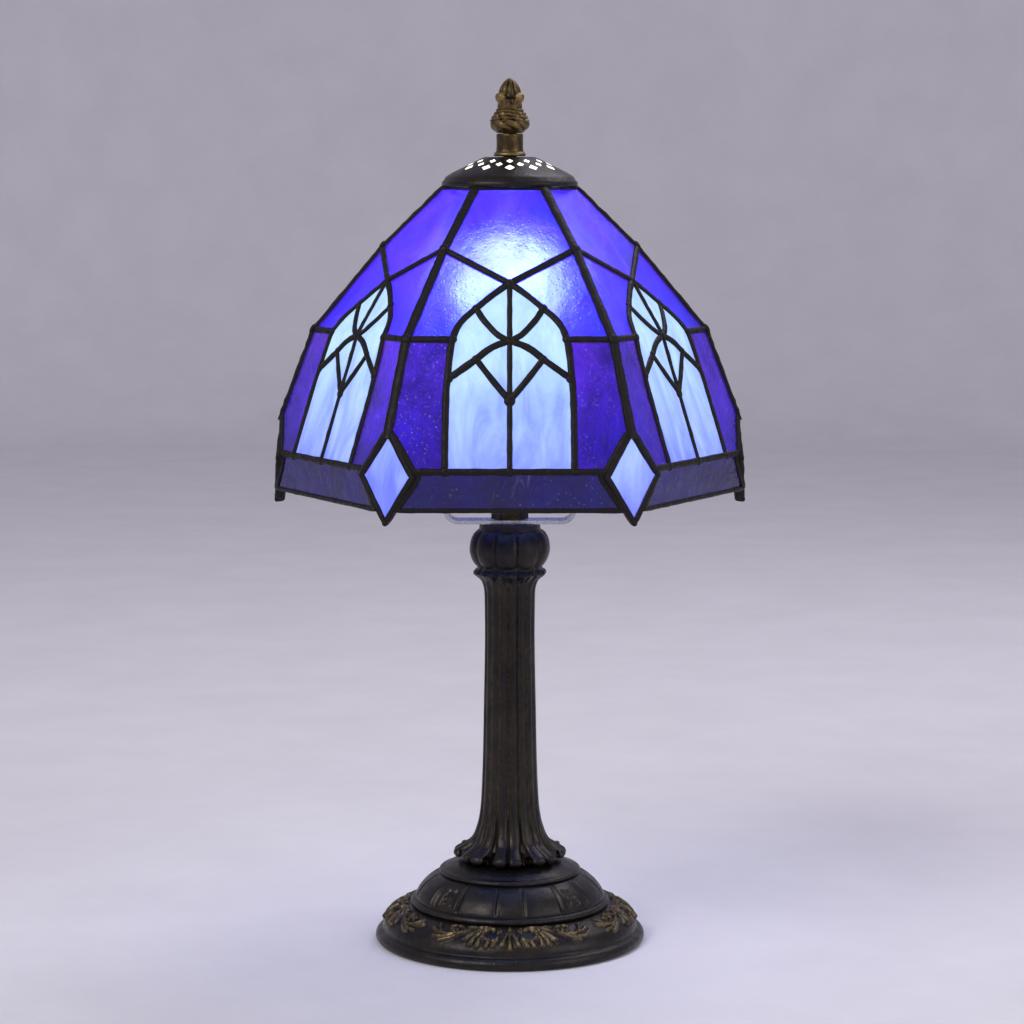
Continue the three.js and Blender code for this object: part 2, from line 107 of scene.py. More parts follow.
def smooth_line(points, step, closed=False):
    """Points along a Catmull-Rom curve through the given ones. A point that ends in "corner" stays sharp."""
    plain = [np.array(p[:-1] if p[-1] == "corner" else p, float) for p in points]
    corner = [p[-1] == "corner" for p in points]
    count = len(plain)
    spans = count if closed else count - 1
    line = []
    for i in range(spans):
        a, b = plain[i], plain[(i + 1) % count]
        before = plain[i - 1] if (closed or i) and not corner[i] else 2 * a - b
        beyond = (i + 2) % count
        after = plain[beyond] if (closed or beyond > 1) and not corner[(i + 1) % count] else 2 * b - a
        pieces = max(1, round(np.linalg.norm(b - a) / step))
        for k in range(pieces):
            t = k / pieces
            line.append(0.5 * (2 * a + (b - before) * t + (2 * before - 5 * a + 4 * b - after) * t * t
                               + (3 * a - before - 3 * b + after) * t ** 3))
    if not closed:
        line.append(plain[-1])
    return np.array(line)


def revolve(profile, segments, relief=None, closed=True):
    """Points and faces of a solid of revolution. relief(azimuth, line) gives (outward shift, wear) arrays."""
    line = np.asarray(profile, float)
    ahead = np.roll(line, -1, 0) if closed else np.vstack([line[1:], line[-1:]])
    back = np.roll(line, 1, 0) if closed else np.vstack([line[:1], line[:-1]])
    along = ahead - back
    along /= np.maximum(np.linalg.norm(along, axis=1), 1e-9)[:, None]
    azimuth = np.linspace(0, 2 * math.pi, segments, endpoint=False)
    shift = wear = np.zeros((len(line), segments))
    if relief:
        shift, wear = relief(azimuth[None, :], line)
    radius = line[:, :1] + along[:, 1:] * shift
    height = line[:, 1:] - along[:, :1] * shift
    points = np.stack([radius * np.sin(azimuth), -radius * np.cos(azimuth), height], -1).reshape(-1, 3)
    faces = []
    rings = len(line) if closed else len(line) - 1
    for i in range(rings):
        low, high = i * segments, (i + 1) % len(line) * segments
        for j in range(segments):
            k = (j + 1) % segments
            faces.append((low + j, low + k, high + k, high + j))
    if not closed:
        faces.append(tuple(range(segments)))
        faces.append(tuple((len(line) - 1) * segments + j for j in range(segments)))
    return points, faces, wear


def turned_piece(name, profile, material, body, slot, segments=72, relief=None, step=1.0, closed=True,
                 place=None):
    """A revolved piece that stands for the node of its own name."""
    points, faces, wear = revolve(smooth_line(profile, step, closed), segments, relief, closed)
    if place is not None:
        points = np.array([place @ Vector(p) for p in points])
    return make_piece(name, points, faces, material, body, slot, (name,), wear)


def cornered(*points):
    """The points, each marked to stay sharp in smooth_line."""
    return [(*p, "corner") for p in points]


def mirrored(points):
    return [(-u, z) for u, z in points]


def soften(low, high, x):
    t = np.clip((x - low) / (high - low), 0, 1)
    return t * t * (3 - 2 * t)


def bump_at(x, centre, width):
    return np.exp(-((x - centre) / width) ** 2)


def lobes(azimuth, count, centre):
    """Place across a repeated lobe, -0.5 to 0.5, with the lobe's middle at 0."""
    return (((azimuth - centre) * count / (2 * math.pi) + 0.5) % 1) - 0.5


def rounded(lobe):
    """A round rib over each lobe: 1 along its middle, 0 at its edges."""
    return np.sqrt(np.clip(1 - (2 * lobe) ** 2, 0, 1))


def sweep(path, normals, section, closed=False):
    """Points and faces of a bar along path. section(i) gives [(across, out)] pairs round its outline."""
    path = [Vector(p) for p in path]
    count = len(path)
    points, faces = [], []
    for i, here in enumerate(path):
        ahead = path[(i + 1) % count] if closed or i + 1 < count else here
        back = path[i - 1] if closed or i else here
        along = (ahead - back).normalized()
        out = Vector(normals[i])
        out = (out - along * out.dot(along)).normalized()
        across = along.cross(out)
        outline = section(i)
        points += [here + across * a + out * b for a, b in outline]
    size = len(outline)
    for i in range(count if closed else count - 1):
        j = (i + 1) % count
        for k in range(size):
            m = (k + 1) % size
            faces.append((i * size + k, i * size + m, j * size + m, j * size + k))
    if not closed:
        faces.append(tuple(range(size)))
        faces.append(tuple((count - 1) * size + k for k in range(size)))
    return points, faces


def joined(parts):
    """One list of points and faces from several."""
    points, faces = [], []
    for some_points, some_faces in parts:
        start = len(points)
        points += [tuple(p) for p in some_points]
        faces += [tuple(start + i for i in face) for face in some_faces]
    return points, faces


# ---------- material helpers ----------

def srgb(red, green, blue):
    """Linear colour from 0-255 display values."""
    values = [c / 255 for c in (red, green, blue)]
    return (*[c / 12.92 if c <= 0.04045 else ((c + 0.055) / 1.055) ** 2.4 for c in values], 1.0)


class Nodes:
    """A material's node tree, with one Principled shader."""

    def __init__(self, name, **settings):
        self.material = bpy.data.materials.new(name)
        self.material.use_nodes = True
        self.tree = self.material.node_tree
        self.shader = self.tree.nodes["Principled BSDF"]
        for key, value in settings.items():
            self.shader.inputs[key.replace("_", " ")].default_value = value
        self.place = self.add("ShaderNodeTexCoord").outputs["Object"]

    def add(self, kind, **inputs):
        node = self.tree.nodes.new(kind)
        for key, value in inputs.items():
            self.put(node.inputs[key.replace("_", " ")], value)
        return node

    def put(self, socket, value):
        if isinstance(value, bpy.types.NodeSocket):
            self.tree.links.new(value, socket)
        else:
            socket.default_value = value

    def to(self, **inputs):
        for key, value in inputs.items():
            self.put(self.shader.inputs[key.replace("_", " ")], value)

    def grain(self, scale, detail=4.0, roughness=0.6, distortion=0.0, stretch=None):
        """Noise, with scale in features per metre. stretch squeezes the pattern along each axis."""
        place = self.place
        if stretch:
            place = self.add("ShaderNodeMapping", Vector=place, Scale=stretch).outputs[0]
        return self.add("ShaderNodeTexNoise", Vector=place, Scale=scale, Detail=detail, Roughness=roughness,
                        Distortion=distortion).outputs["Fac"]

    def specks(self, scale, size):
        """1 at the middle of scattered dots, 0 from size outwards, size as a share of their spacing."""
        dots = self.add("ShaderNodeTexVoronoi", Vector=self.place, Scale=scale)
        return self.ramp(dots.outputs["Distance"], size, 0.0)

    def ramp(self, value, low, high, to_low=0.0, to_high=1.0):
        """value carried from low..high to to_low..to_high, and held at the ends."""
        node = self.add("ShaderNodeMapRange", Value=value, From_Min=low, From_Max=high, To_Min=to_low,
                        To_Max=to_high)
        return node.outputs[0]

    def blend(self, share, a, b):
        node = self.add("ShaderNodeMix")
        node.data_type = "RGBA"
        self.put(node.inputs[0], share)
        self.put(node.inputs[6], a)
        self.put(node.inputs[7], b)
        return node.outputs[2]

    def maths(self, how, a, b=0.0):
        node = self.add("ShaderNodeMath")
        node.operation = how
        self.put(node.inputs[0], a)
        self.put(node.inputs[1], b)
        return node.outputs[0]

    def height(self):
        return self.add("ShaderNodeSeparateXYZ", Vector=self.place).outputs["Z"]

    def distance(self, centre):
        node = self.add("ShaderNodeVectorMath")
        node.operation = "DISTANCE"
        self.put(node.inputs[0], self.place)
        self.put(node.inputs[1], [c * MM for c in centre])
        return node.outputs["Value"]

    def wear(self):
        node = self.add("ShaderNodeAttribute")
        node.attribute_name = "wear"
        return node.outputs["Fac"]

    def mottle(self, scale, detail, low, high, a, b):
        """Base colour that drifts between a and b."""
        self.to(Base_Color=self.blend(self.ramp(self.grain(scale, detail), low, high), a, b))

    def gloss(self, scale, detail, high, low_rough, high_rough):
        """Roughness that drifts between two values."""
        self.to(Roughness=self.ramp(self.grain(scale, detail), 0.3, high, low_rough, high_rough))

    def bump(self, height, strength, distance=0.0004):
        node = self.add("ShaderNodeBump", Height=height, Strength=strength, Distance=distance)
        self.to(Normal=node.outputs[0])


# ---------- materials ----------

def dark_bronze():
    """Blackened bronze with gold rubbed off into its relief."""
    m = Nodes("dark_bronze", Metallic=0.75, Specular_IOR_Level=0.6)
    ground = m.blend(m.ramp(m.grain(70, 5, 0.65), 0.35, 0.7), srgb(31, 29, 31), srgb(54, 49, 42))
    gilt = m.maths("MULTIPLY", m.wear(), m.ramp(m.grain(420, 5, 0.7), 0.36, 0.66))
    m.to(Base_Color=m.blend(gilt, ground, srgb(128, 110, 72)))
    m.gloss(240, 4, 0.75, 0.26, 0.48)
    m.bump(m.maths("ADD", m.grain(1100, 3), m.maths("MULTIPLY", m.grain(260, 3), 1.5)), 0.35)
    return m.material


def antique_brass():
    """Brown brass, brighter in patches and where it is rubbed."""
    m = Nodes("antique_brass", Metallic=0.9)
    gilt = m.maths("ADD", m.wear(), m.ramp(m.grain(330, 5, 0.7), 0.45, 0.8, 0.0, 0.45))
    m.to(Base_Color=m.blend(m.maths("MINIMUM", gilt, 1.0), srgb(44, 36, 25), srgb(138, 116, 74)))
    m.gloss(500, 4, 0.75, 0.28, 0.5)
    m.bump(m.grain(1500, 3), 0.3, 0.0003)
    return m.material


def soldered_lead():
    """Copper foil and solder under a black patina, dull, with a little bare metal in scattered patches."""
    m = Nodes("soldered_lead", Metallic=0.6)
    rub = m.ramp(m.grain(420, 6, 0.75), 0.58, 0.8)
    m.to(Base_Color=m.blend(rub, srgb(25, 21, 19), srgb(66, 54, 42)))
    m.gloss(380, 4, 0.7, 0.36, 0.62)
    m.bump(m.maths("ADD", m.grain(520, 4), m.maths("MULTIPLY", m.grain(1700, 2), 0.4)), 0.6, 0.0006)
    return m.material


def stained_blue(name, tones, haze, lit, near, far, reach):
    """Clear blue glass with streaks, seed bubbles and ripples, and a painted glow from the bulb: emission
    from near to far over the reach, in millimetres from the bulb, in patches, and paler at seed bubbles and
    scratches as painted glints."""
    m = Nodes(name, IOR=1.5, Transmission_Weight=1.0, Roughness=haze, Specular_IOR_Level=0.12)
    streaks = m.grain(38, 5, 0.6, 1.6, (1.0, 1.0, 0.35))
    m.to(Base_Color=m.blend(m.ramp(streaks, 0.3, 0.7), *tones))
    # Painted glow: emission brightest near the bulb, in patches, paler at seed bubbles and scratches as
    # painted glints
    glow = m.blend(m.ramp(m.distance(BULB_CENTRE), reach[0] * MM, reach[1] * MM), near, far)
    patchy_glow = m.ramp(m.grain(30, 7, 0.66, 0.9), 0.32, 0.7, 0.12, 1.9)
    seed_glints = m.maths("MULTIPLY", m.specks(420, 0.2), m.ramp(m.grain(90, 2), 0.48, 0.62))
    scratch_glints = m.ramp(m.grain(150, 6, 0.75, 2.5, (1.0, 1.0, 0.25)), 0.6, 0.78, 0.0, 0.7)
    light = m.blend(m.maths("MINIMUM", m.maths("ADD", seed_glints, scratch_glints), 1.0), glow, srgb(190, 170, 255))
    m.to(Emission_Color=light, Emission_Strength=m.maths("MULTIPLY", patchy_glow, lit))
    ripple = m.maths("ADD", m.grain(120, 4, 0.55), m.maths("MULTIPLY", m.specks(520, 0.3), 0.25))
    m.bump(ripple, 0.45, 0.0012)
    return m.material


def opal_white():
    """Milky glass with faint streaks and a painted glow, in patches: near white high up by the bulb,
    periwinkle by the skirt.
    """
    m = Nodes("opal_glass", IOR=1.5, Transmission_Weight=0.12, Roughness=0.22, Specular_IOR_Level=0.35)
    wisps = m.grain(30, 5, 0.6, 1.4, (2.2, 2.2, 0.5))
    level = m.maths("ADD", m.height(), m.ramp(wisps, 0.3, 0.7, -0.012, 0.012))
    # Painted light: the glow's colour runs from periwinkle low down to near white high up, and its strength
    # comes in patches
    colour = m.blend(m.ramp(level, 0.203, 0.268), srgb(104, 112, 246), srgb(190, 230, 252))
    shade = m.ramp(m.grain(55, 5, 0.65, 1.0, (1.6, 1.6, 0.4)), 0.3, 0.75, 0.72, 1.12)
    m.to(Base_Color=m.blend(m.ramp(wisps, 0.3, 0.75), srgb(92, 106, 215), srgb(140, 160, 238)))
    m.to(Emission_Color=colour, Emission_Strength=m.maths("MULTIPLY", shade, 0.82))
    m.bump(m.grain(70, 4), 0.3, 0.001)
    return m.material


def lit_bulb():
    m = Nodes("bulb_diffuser", Roughness=0.35)
    m.mottle(300, 3, 0.3, 0.7, srgb(240, 242, 250), srgb(228, 232, 246))
    m.to(Emission_Color=srgb(198, 228, 255))
    m.to(Emission_Strength=m.ramp(m.height(), 0.255, 0.292, 2.5, 26.0))
    return m.material


def lit_cap_inside():
    """Painted light on the cap's inner face and vent walls: a pale, glowing tone for the bulb's light from
    close below.
    """
    m = Nodes("cap_inside", Metallic=0.2, Roughness=0.5)
    m.mottle(200, 4, 0.3, 0.7, srgb(226, 220, 204), srgb(244, 240, 230))
    m.to(Emission_Color=srgb(255, 246, 228), Emission_Strength=m.ramp(m.grain(90, 3), 0.3, 0.7, 0.75, 1.1))
    return m.material


def bright_nickel():
    m = Nodes("bright_nickel", Metallic=1.0)
    m.mottle(220, 4, 0.35, 0.7, srgb(176, 178, 184), srgb(206, 206, 212))
    m.to(Roughness=m.ramp(m.grain(900, 4, 0.6, 0.0, (1.0, 8.0, 1.0)), 0.3, 0.7, 0.16, 0.34))
    m.bump(m.grain(1400, 2, 0.5, 0.0, (1.0, 6.0, 1.0)), 0.15, 0.0002)
    return m.material


def plain_steel():
    m = Nodes("zinc_steel", Metallic=1.0)
    m.mottle(260, 5, 0.35, 0.7, srgb(128, 130, 132), srgb(168, 168, 164))
    m.gloss(500, 4, 0.7, 0.3, 0.5)
    m.bump(m.grain(1200, 3), 0.25, 0.0002)
    return m.material


def moulded(name, dark, light, rough, grain_scale):
    """Moulded or fired material: two close tones, a soft gloss and a fine skin."""
    m = Nodes(name)
    m.mottle(150, 5, 0.35, 0.7, dark, light)
    m.gloss(400, 4, 0.7, rough - 0.07, rough + 0.08)
    m.bump(m.grain(grain_scale, 3), 0.25, 0.0003)
    return m.material


def green_felt():
    m = Nodes("felt", Sheen_Weight=0.6, Sheen_Roughness=0.5)
    fibres = m.grain(1600, 8, 0.8, 2.0)
    m.to(Base_Color=m.blend(m.ramp(fibres, 0.3, 0.7), srgb(18, 32, 26), srgb(46, 66, 54)), Roughness=0.95)
    m.bump(fibres, 0.8, 0.0008)
    return m.material


BRONZE = dark_bronze()
BRASS = antique_brass()
LEAD = soldered_lead()
CROWN_BLUE = stained_blue("crown_blue", (srgb(48, 46, 220), srgb(86, 92, 255)), 0.34, 0.42,
                          srgb(108, 44, 255), srgb(62, 14, 215), (45, 82))
FLANK_BLUE = stained_blue("flank_blue", (srgb(36, 14, 112), srgb(74, 42, 178)), 0.22, 0.4,
                          srgb(120, 60, 240), srgb(52, 12, 160), (65, 112))
# The skirt's copy is darker and glows less: painted shade, where less of the bulb's light reaches
SKIRT_BLUE = stained_blue("skirt_blue", (srgb(8, 2, 70), srgb(20, 8, 118)), 0.1, 0.2,
                          srgb(34, 8, 170), srgb(18, 2, 110), (90, 125))
OPAL = opal_white()
BULB_LIT = lit_bulb()
CAP_INSIDE = lit_cap_inside()
NICKEL = bright_nickel()
STEEL = plain_steel()
PHENOLIC = moulded("phenolic", srgb(20, 17, 16), srgb(34, 30, 28), 0.38, 900)
PORCELAIN = moulded("porcelain", srgb(214, 208, 196), srgb(232, 228, 218), 0.26, 300)
RUBBER = moulded("rubber", srgb(16, 16, 17), srgb(30, 30, 31), 0.62, 1500)
FELT = green_felt()


# ---------- the shade's surface ----------

def corner_radius(z):
    for (r_high, high), (r_low, low) in zip(FOLDS, FOLDS[1:]):
        if z >= low or (r_low, low) == HEM:
            return r_low + (r_high - r_low) * (z - low) / (high - low)


def apothem(u, z):
    """Distance of a side's outer face from the axis, at u across and height z."""
    to_apothem = math.cos(math.pi / SIDES)
    half_knee = KNEE_1[0] / 2
    across = abs(u)
    if z < KNEE_2[1] or across > half_knee:
        return to_apothem * corner_radius(z)
    slope = (TOP[0] - KNEE_1[0]) / (TOP[1] - KNEE_1[1])
    edge = ARCH_APEX[1] + (KNEE_1[1] - ARCH_APEX[1]) * across / half_knee
    crown = to_apothem * (KNEE_1[0] + slope * (max(z, edge) - KNEE_1[1]))
    if z >= edge:
        return crown
    fall = (edge - z) / (edge - KNEE_2[1])
    return crown + (to_apothem * KNEE_2[0] - crown) * fall


TO_CORNER = Matrix.Rotation(math.pi / SIDES, 4, "Z")


def side_turn(side):
    """Turns side 1, the front, to the place of another side, counter-clockwise from above."""
    return Matrix.Rotation((side - 1) * 2 * math.pi / SIDES, 4, "Z")


def on_side(u, z, out=0.0):
    return Vector((u, -(apothem(u, z) + out), z))


def side_normal(u, z):
    step = 0.4
    across = on_side(u + step, z) - on_side(u - step, z)
    up = on_side(u, z + step) - on_side(u, z - step)
    return across.cross(up).normalized()


def diamond_edge(z):
    """Where a side's strips meet the diamond's outline at height z."""
    reach = DIAMOND["top"] - DIAMOND["z"] if z > DIAMOND["z"] else DIAMOND["z"] - DIAMOND["bottom"]
    half = DIAMOND["half"] * (1 - abs(z - DIAMOND["z"]) / reach)
    return corner_radius(z) / 2 - half / math.cos(math.pi / SIDES)


def on_diamond(x, z, out=0.0):
    """A point of the front right diamond's plane."""
    y = -(DIAMOND["face"] + out) + DIAMOND["lean"] * (z - DIAMOND["z"])
    return TO_CORNER @ Vector((x, y, z))


# ---------- leading ----------

CROSSING = (0.0, 268.6)
INNER_ARCH = (8.6, 274.7)
BRANCH = (13.7, 261.4)
SPRING = (24.9, 253.6)
FORK = (0.0, 244.8)
ARCH_KNEE = (23.3, KNEE_2[1])
ARCH_FOOT = (26.3, JOINT[1])
WINDOW_FOOT = (0.0, JOINT[1])
NOTCH_Z = DIAMOND["top"] - 2
HEM_Z = 200.6
TOP_EDGE = (14.5, 330.2)

ARM = [(27.5, 305.3), ARCH_APEX]
ARCH_LINE = [ARCH_APEX, (7.0, 286.9), (13.7, 281.6), (18.6, 277.6), (21.6, 273.8), (23.2, 269.6),
             (24.3, 264.6), (25.3, 254.0), (25.9, 247.3), (26.2, 232.0), ARCH_FOOT]
TRACERY = [(13.7, 281.6), (11.4, 277.9), INNER_ARCH, (4.6, 270.9), CROSSING]
BRACE = [CROSSING, (4.8, 267.2), (9.1, 265.0), BRANCH, (18.7, 257.9), SPRING]
FORK_LINE = [FORK, (7.0, 253.0), BRANCH]


def bead_section(half, proud, depth):
    """Outline of a came: domed outside, fuller inside where it wraps the glass."""
    def outline(wide, tall):
        points = []
        for k in range(BEAD_SIDES):
            angle = 2 * math.pi * k / BEAD_SIDES
            c, s = math.cos(angle), math.sin(angle)
            across = half * wide * math.copysign(abs(c) ** 0.7, c)
            points.append((across, s * proud * tall if s > 0 else s * depth))
        return points
    return outline


def unevenness(p, size, amount):
    """A factor near 1 that wanders over a few millimetres, the same at the same place."""
    return 1 + amount * noise.noise(Vector(p) / size)


def came(points, normals, half, proud=PROUD, depth=CAME_DEPTH, closed=False):
    """One hand-soldered came along points. Its width and height wander a little."""
    outline = bead_section(half, proud, depth)
    count = len(points)

    def section(i):
        taper = 1.0 if closed else min(1.0, 0.75 + 0.25 * min(i, count - 1 - i))
        wide = unevenness(points[i], 4.5, 0.16) * taper
        return outline(wide, unevenness(points[i], 3.2, 0.45) * taper)

    return sweep(points, normals, section, closed)


def solder_blob(point, normal, radius, proud=PROUD * 1.35):
    """Flattened pool of solder where cames meet."""
    ball = bmesh.new()
    bmesh.ops.create_icosphere(ball, subdivisions=2, radius=1.0)
    turn = Vector(normal).to_track_quat("Z", "Y").to_matrix()
    size = radius * unevenness(point, 5.0, 0.25)
    squash = Vector((size, size, proud))
    points = [Vector(point) + turn @ (v.co * squash) for v in ball.verts]
    faces = [tuple(v.index for v in face.verts) for face in ball.faces]
    ball.free()
    return points, faces


def side_line(points, half, depth=CAME_DEPTH):
    """A came over one side, along a smooth line through points (across, height)."""
    line = smooth_line(points, CAME_STEP)
    return came([on_side(u, z) for u, z in line], [side_normal(u, z) for u, z in line], half, depth=depth)


def side_leading():
    """Every came within one side, in the front side's place."""
    beside = [(diamond_edge(z), z) for z in (NOTCH_Z, 226.0, JOINT[1], DIAMOND["z"], 207.0, HEM_Z)]
    knee_bar = [(23.4, KNEE_2[1]), (42.0, KNEE_2[1])]
    halves = [(ARM, BAR_HALF), (ARCH_LINE, ARCH_HALF), (TRACERY, TRACERY_HALF), (BRACE, BRACE_HALF),
              (FORK_LINE, TRACERY_HALF), (knee_bar, BAR_HALF)]
    parts = []
    for flip, beside_diamond in ((list, cornered(*beside)), (mirrored, mirrored(beside))):
        parts += [side_line(flip(points), half) for points, half in halves]
        parts.append(side_line(beside_diamond, BESIDE_DIAMOND_HALF))
        for u, z in flip([ARM[0], TRACERY[0], BRANCH, SPRING, ARCH_KNEE, ARCH_FOOT]):
            parts.append(solder_blob(on_side(u, z), side_normal(u, z), 1.9))
    parts.append(side_line([ARCH_APEX, WINDOW_FOOT], MULLION_HALF))
    level = [((diamond_edge(JOINT[1]), JOINT[1]), BAR_HALF, CAME_DEPTH),
             ((diamond_edge(HEM_Z), HEM_Z + 0.1), EDGE_HALF, 3.2), (TOP_EDGE, EDGE_HALF, CAME_DEPTH)]
    for end, half, depth in level:
        parts.append(side_line([*mirrored([end]), end], half, depth))
    for u, z in (ARCH_APEX, CROSSING, FORK, WINDOW_FOOT):
        parts.append(solder_blob(on_side(u, z), side_normal(u, z), 2.1))
    return joined(parts)


def ridge_leading():
    """The came over one corner, from the top rim into the diamond's notch."""
    foot_z = 230.0
    line = smooth_line([*cornered(TOP, KNEE_1, KNEE_2), (corner_radius(foot_z), foot_z)], CAME_STEP)
    path = [TO_CORNER @ Vector((0, -r + 0.35, z)) for r, z in line]
    normals = [TO_CORNER @ Vector((0, -1, 0.45))] * len(path)
    parts = [came(path, normals, RIDGE_HALF, 0.95, 3.0)]
    for r, z in (KNEE_1, KNEE_2):
        parts.append(solder_blob(TO_CORNER @ Vector((0, -r, z)), TO_CORNER @ Vector((0, -1, 0.5)), 2.7, 1.15))
    return joined(parts)


def diamond_outline(shrink):
    """Diamond's corners, drawn in by shrink on every edge."""
    outline = [(DIAMOND["half"], DIAMOND["z"]), (0, DIAMOND["top"]), (-DIAMOND["half"], DIAMOND["z"]),
               (0, DIAMOND["bottom"])]
    points = []
    for i, here in enumerate(outline):
        before, after = Vector(outline[i - 1]), Vector(outline[(i + 1) % 4])
        here = Vector(here)
        into = (before - here).normalized() + (after - here).normalized()
        half_angle = (before - here).angle(after - here) / 2
        points.append(tuple(here + into.normalized() * shrink / math.sin(half_angle)))
    return points


def diamond_facing():
    """Unit normal of the front right diamond."""
    return on_diamond(0, DIAMOND["z"], 1.0) - on_diamond(0, DIAMOND["z"])


def diamond_leading():
    """The came round the front right diamond."""
    line = smooth_line(cornered(*diamond_outline(DIAMOND_RIM / 2)), 2.0, True)
    path = [on_diamond(x, z) for x, z in line]
    out = diamond_facing()
    parts = [came(path, [out] * len(path), DIAMOND_RIM / 2 + 0.1, 0.85, 3.6, True)]
    for x, z in diamond_outline(DIAMOND_RIM / 2):
        parts.append(solder_blob(on_diamond(x, z), out, 1.5, 1.05))
    return joined(parts)


def build_leading():
    kinds = {"side_came": side_leading(), "ridge_came": ridge_leading(), "diamond_came": diamond_leading()}
    for side in range(1, SIDES + 1):
        turn = side_turn(side)
        for name, (points, faces) in kinds.items():
            turned = [turn @ Vector(p) for p in points]
            make_piece(f"{name}_{side}", turned, faces, LEAD, "shade", "came", ("came_lattice",))


# ---------- panes ----------

def drawn_in(outline, distance):
    """A closed outline moved inwards by distance."""
    points = [Vector(p) for p in outline]
    count = len(points)
    area = sum(points[i - 1].x * points[i].y - points[i].x * points[i - 1].y for i in range(count))
    hand = 1 if area > 0 else -1
    moved = []
    for i in range(count):
        before = (points[i] - points[i - 1]).normalized()
        after = (points[(i + 1) % count] - points[i]).normalized()
        normal = Vector((-(before + after).y, (before + after).x)).normalized() * hand
        cosine = max(0.35, normal.dot(Vector((-after.y, after.x)) * hand))
        moved.append(points[i] + normal * distance / cosine)
    return moved


def gridded(outline, cuts_u, cuts_z):
    """The outline as a bmesh of small faces, cut along the given lines."""
    sheet = bmesh.new()
    sheet.faces.new([sheet.verts.new((p[0], 0, p[1])) for p in outline])
    for axis, cuts in (((1, 0, 0), cuts_u), ((0, 0, 1), cuts_z)):
        for value in cuts:
            where = tuple(value * a for a in axis)
            everything = sheet.verts[:] + sheet.edges[:] + sheet.faces[:]
            bmesh.ops.bisect_plane(sheet, geom=everything, plane_co=where, plane_no=axis, dist=1e-4)
    bmesh.ops.triangulate(sheet, faces=sheet.faces)
    return sheet


PANE_GRID = 5.0
OFF_CORNERS = (0.37, 0.21)  # keeps the grid's cuts away from the outlines' own corners


def pane(name, outline, material, slot, place, normal, turn, replaces, depth=GLASS_DEPTH):
    """A slab of glass with a slightly wavy face and back. place(u, z) puts it on its surface."""
    edge = drawn_in(outline, UNDER_CAME)
    us, zs = zip(*edge)
    grid_u = np.arange(math.floor(min(us)), max(us), PANE_GRID) + OFF_CORNERS[0]
    grid_z = [*(np.arange(math.floor(min(zs)), max(zs), PANE_GRID) + OFF_CORNERS[1]), KNEE_1[1], KNEE_2[1]]
    sheet = gridded(edge, grid_u, grid_z)
    flat = [(v.co.x, v.co.z) for v in sheet.verts]
    faces = [tuple(v.index for v in face.verts) for face in sheet.faces]
    rim = [tuple(v.index for v in e.verts) for e in sheet.edges if len(e.link_faces) == 1]
    sheet.free()
    count = len(flat)
    points = []
    for inward in (0, depth):
        for u, z in flat:
            here = turn @ place(u, z)
            wave = 0.14 * noise.noise(here / 9 + Vector((inward, 0, 0)))
            points.append(here - (turn.to_3x3() @ normal(u, z)) * (inward + wave + 0.1))
    backs = [tuple(i + count for i in reversed(face)) for face in faces]
    walls = [(a, b, b + count, a + count) for a, b in rim]
    return make_piece(name, points, faces + backs + walls, material, "shade", slot, replaces)


def pane_outlines():
    """Each pane of one side: name, outline, material, slot and the node that it stands for."""
    top, knee_1, knee_2 = [(r / 2, z) for r, z in FOLDS[:3]]
    notch = (corner_radius(NOTCH_Z) / 2, NOTCH_Z)
    joint_end = (diamond_edge(JOINT[1]), JOINT[1])
    skirt_half = [(diamond_edge(z), z) for z in (JOINT[1], DIAMOND["z"], 200.2)]
    arch_side = ARCH_LINE[2:]
    high_arch = [p for p in arch_side if p[1] >= KNEE_2[1]]
    low_arch = [p for p in arch_side if p[1] < KNEE_2[1]]
    down_to_spring = [p for p in arch_side if p[1] > SPRING[1]]
    below_spring = [p for p in arch_side if p[1] < SPRING[1] - 1]
    window = (OPAL, "opal_glass", "window_glass_{}")
    flank = ("blue_glass", "flank_glass_{side}_{}")
    panes = [("crown", [top, knee_1, ARCH_APEX, *mirrored([knee_1, top])],
              CROWN_BLUE, "blue_glass", "crown_glass_{}")]
    halves = [
        ("shoulder", [ARCH_APEX, knee_1, knee_2, ARCH_KNEE, *high_arch[::-1], ARCH_LINE[1]],
         CROWN_BLUE, *flank),
        ("strip", [ARCH_KNEE, knee_2, notch, joint_end, *low_arch[::-1]], FLANK_BLUE, *flank),
        ("kite", [*ARCH_LINE[:3], *TRACERY[1:]], *window),
        ("spandrel", [*down_to_spring, SPRING, *BRACE[-2:0:-1], CROSSING, *TRACERY[-2:0:-1]], *window),
        ("wedge", [*BRACE[:4], *FORK_LINE[-2::-1]], *window),
        ("lancet", [*BRACE[3:], *below_spring, WINDOW_FOOT, *FORK_LINE[:2]], *window),
    ]
    for kind, outline, material, slot, node in halves:
        for side, flip in (("right", list), ("left", mirrored)):
            panes.append((f"{kind}_{side}", flip(outline), material, slot, node.replace("{side}", side)))
    panes.append(("skirt", [*skirt_half, *mirrored(skirt_half)[::-1]],
                  SKIRT_BLUE, "blue_glass", "skirt_glass_{}"))
    return panes


def build_panes():
    out = diamond_facing()
    for side in range(1, SIDES + 1):
        turn = side_turn(side)
        for kind, outline, material, slot, node in pane_outlines():
            pane(f"{kind}_pane_{side}", outline, material, slot, on_side, side_normal, turn,
                 (node.format(side),))
        pane(f"diamond_pane_{side}", diamond_outline(DIAMOND_RIM / 2), OPAL, "opal_glass",
             on_diamond, lambda x, z: out, turn, (f"diamond_glass_{side}",), 2.4)


# ---------- foot ----------

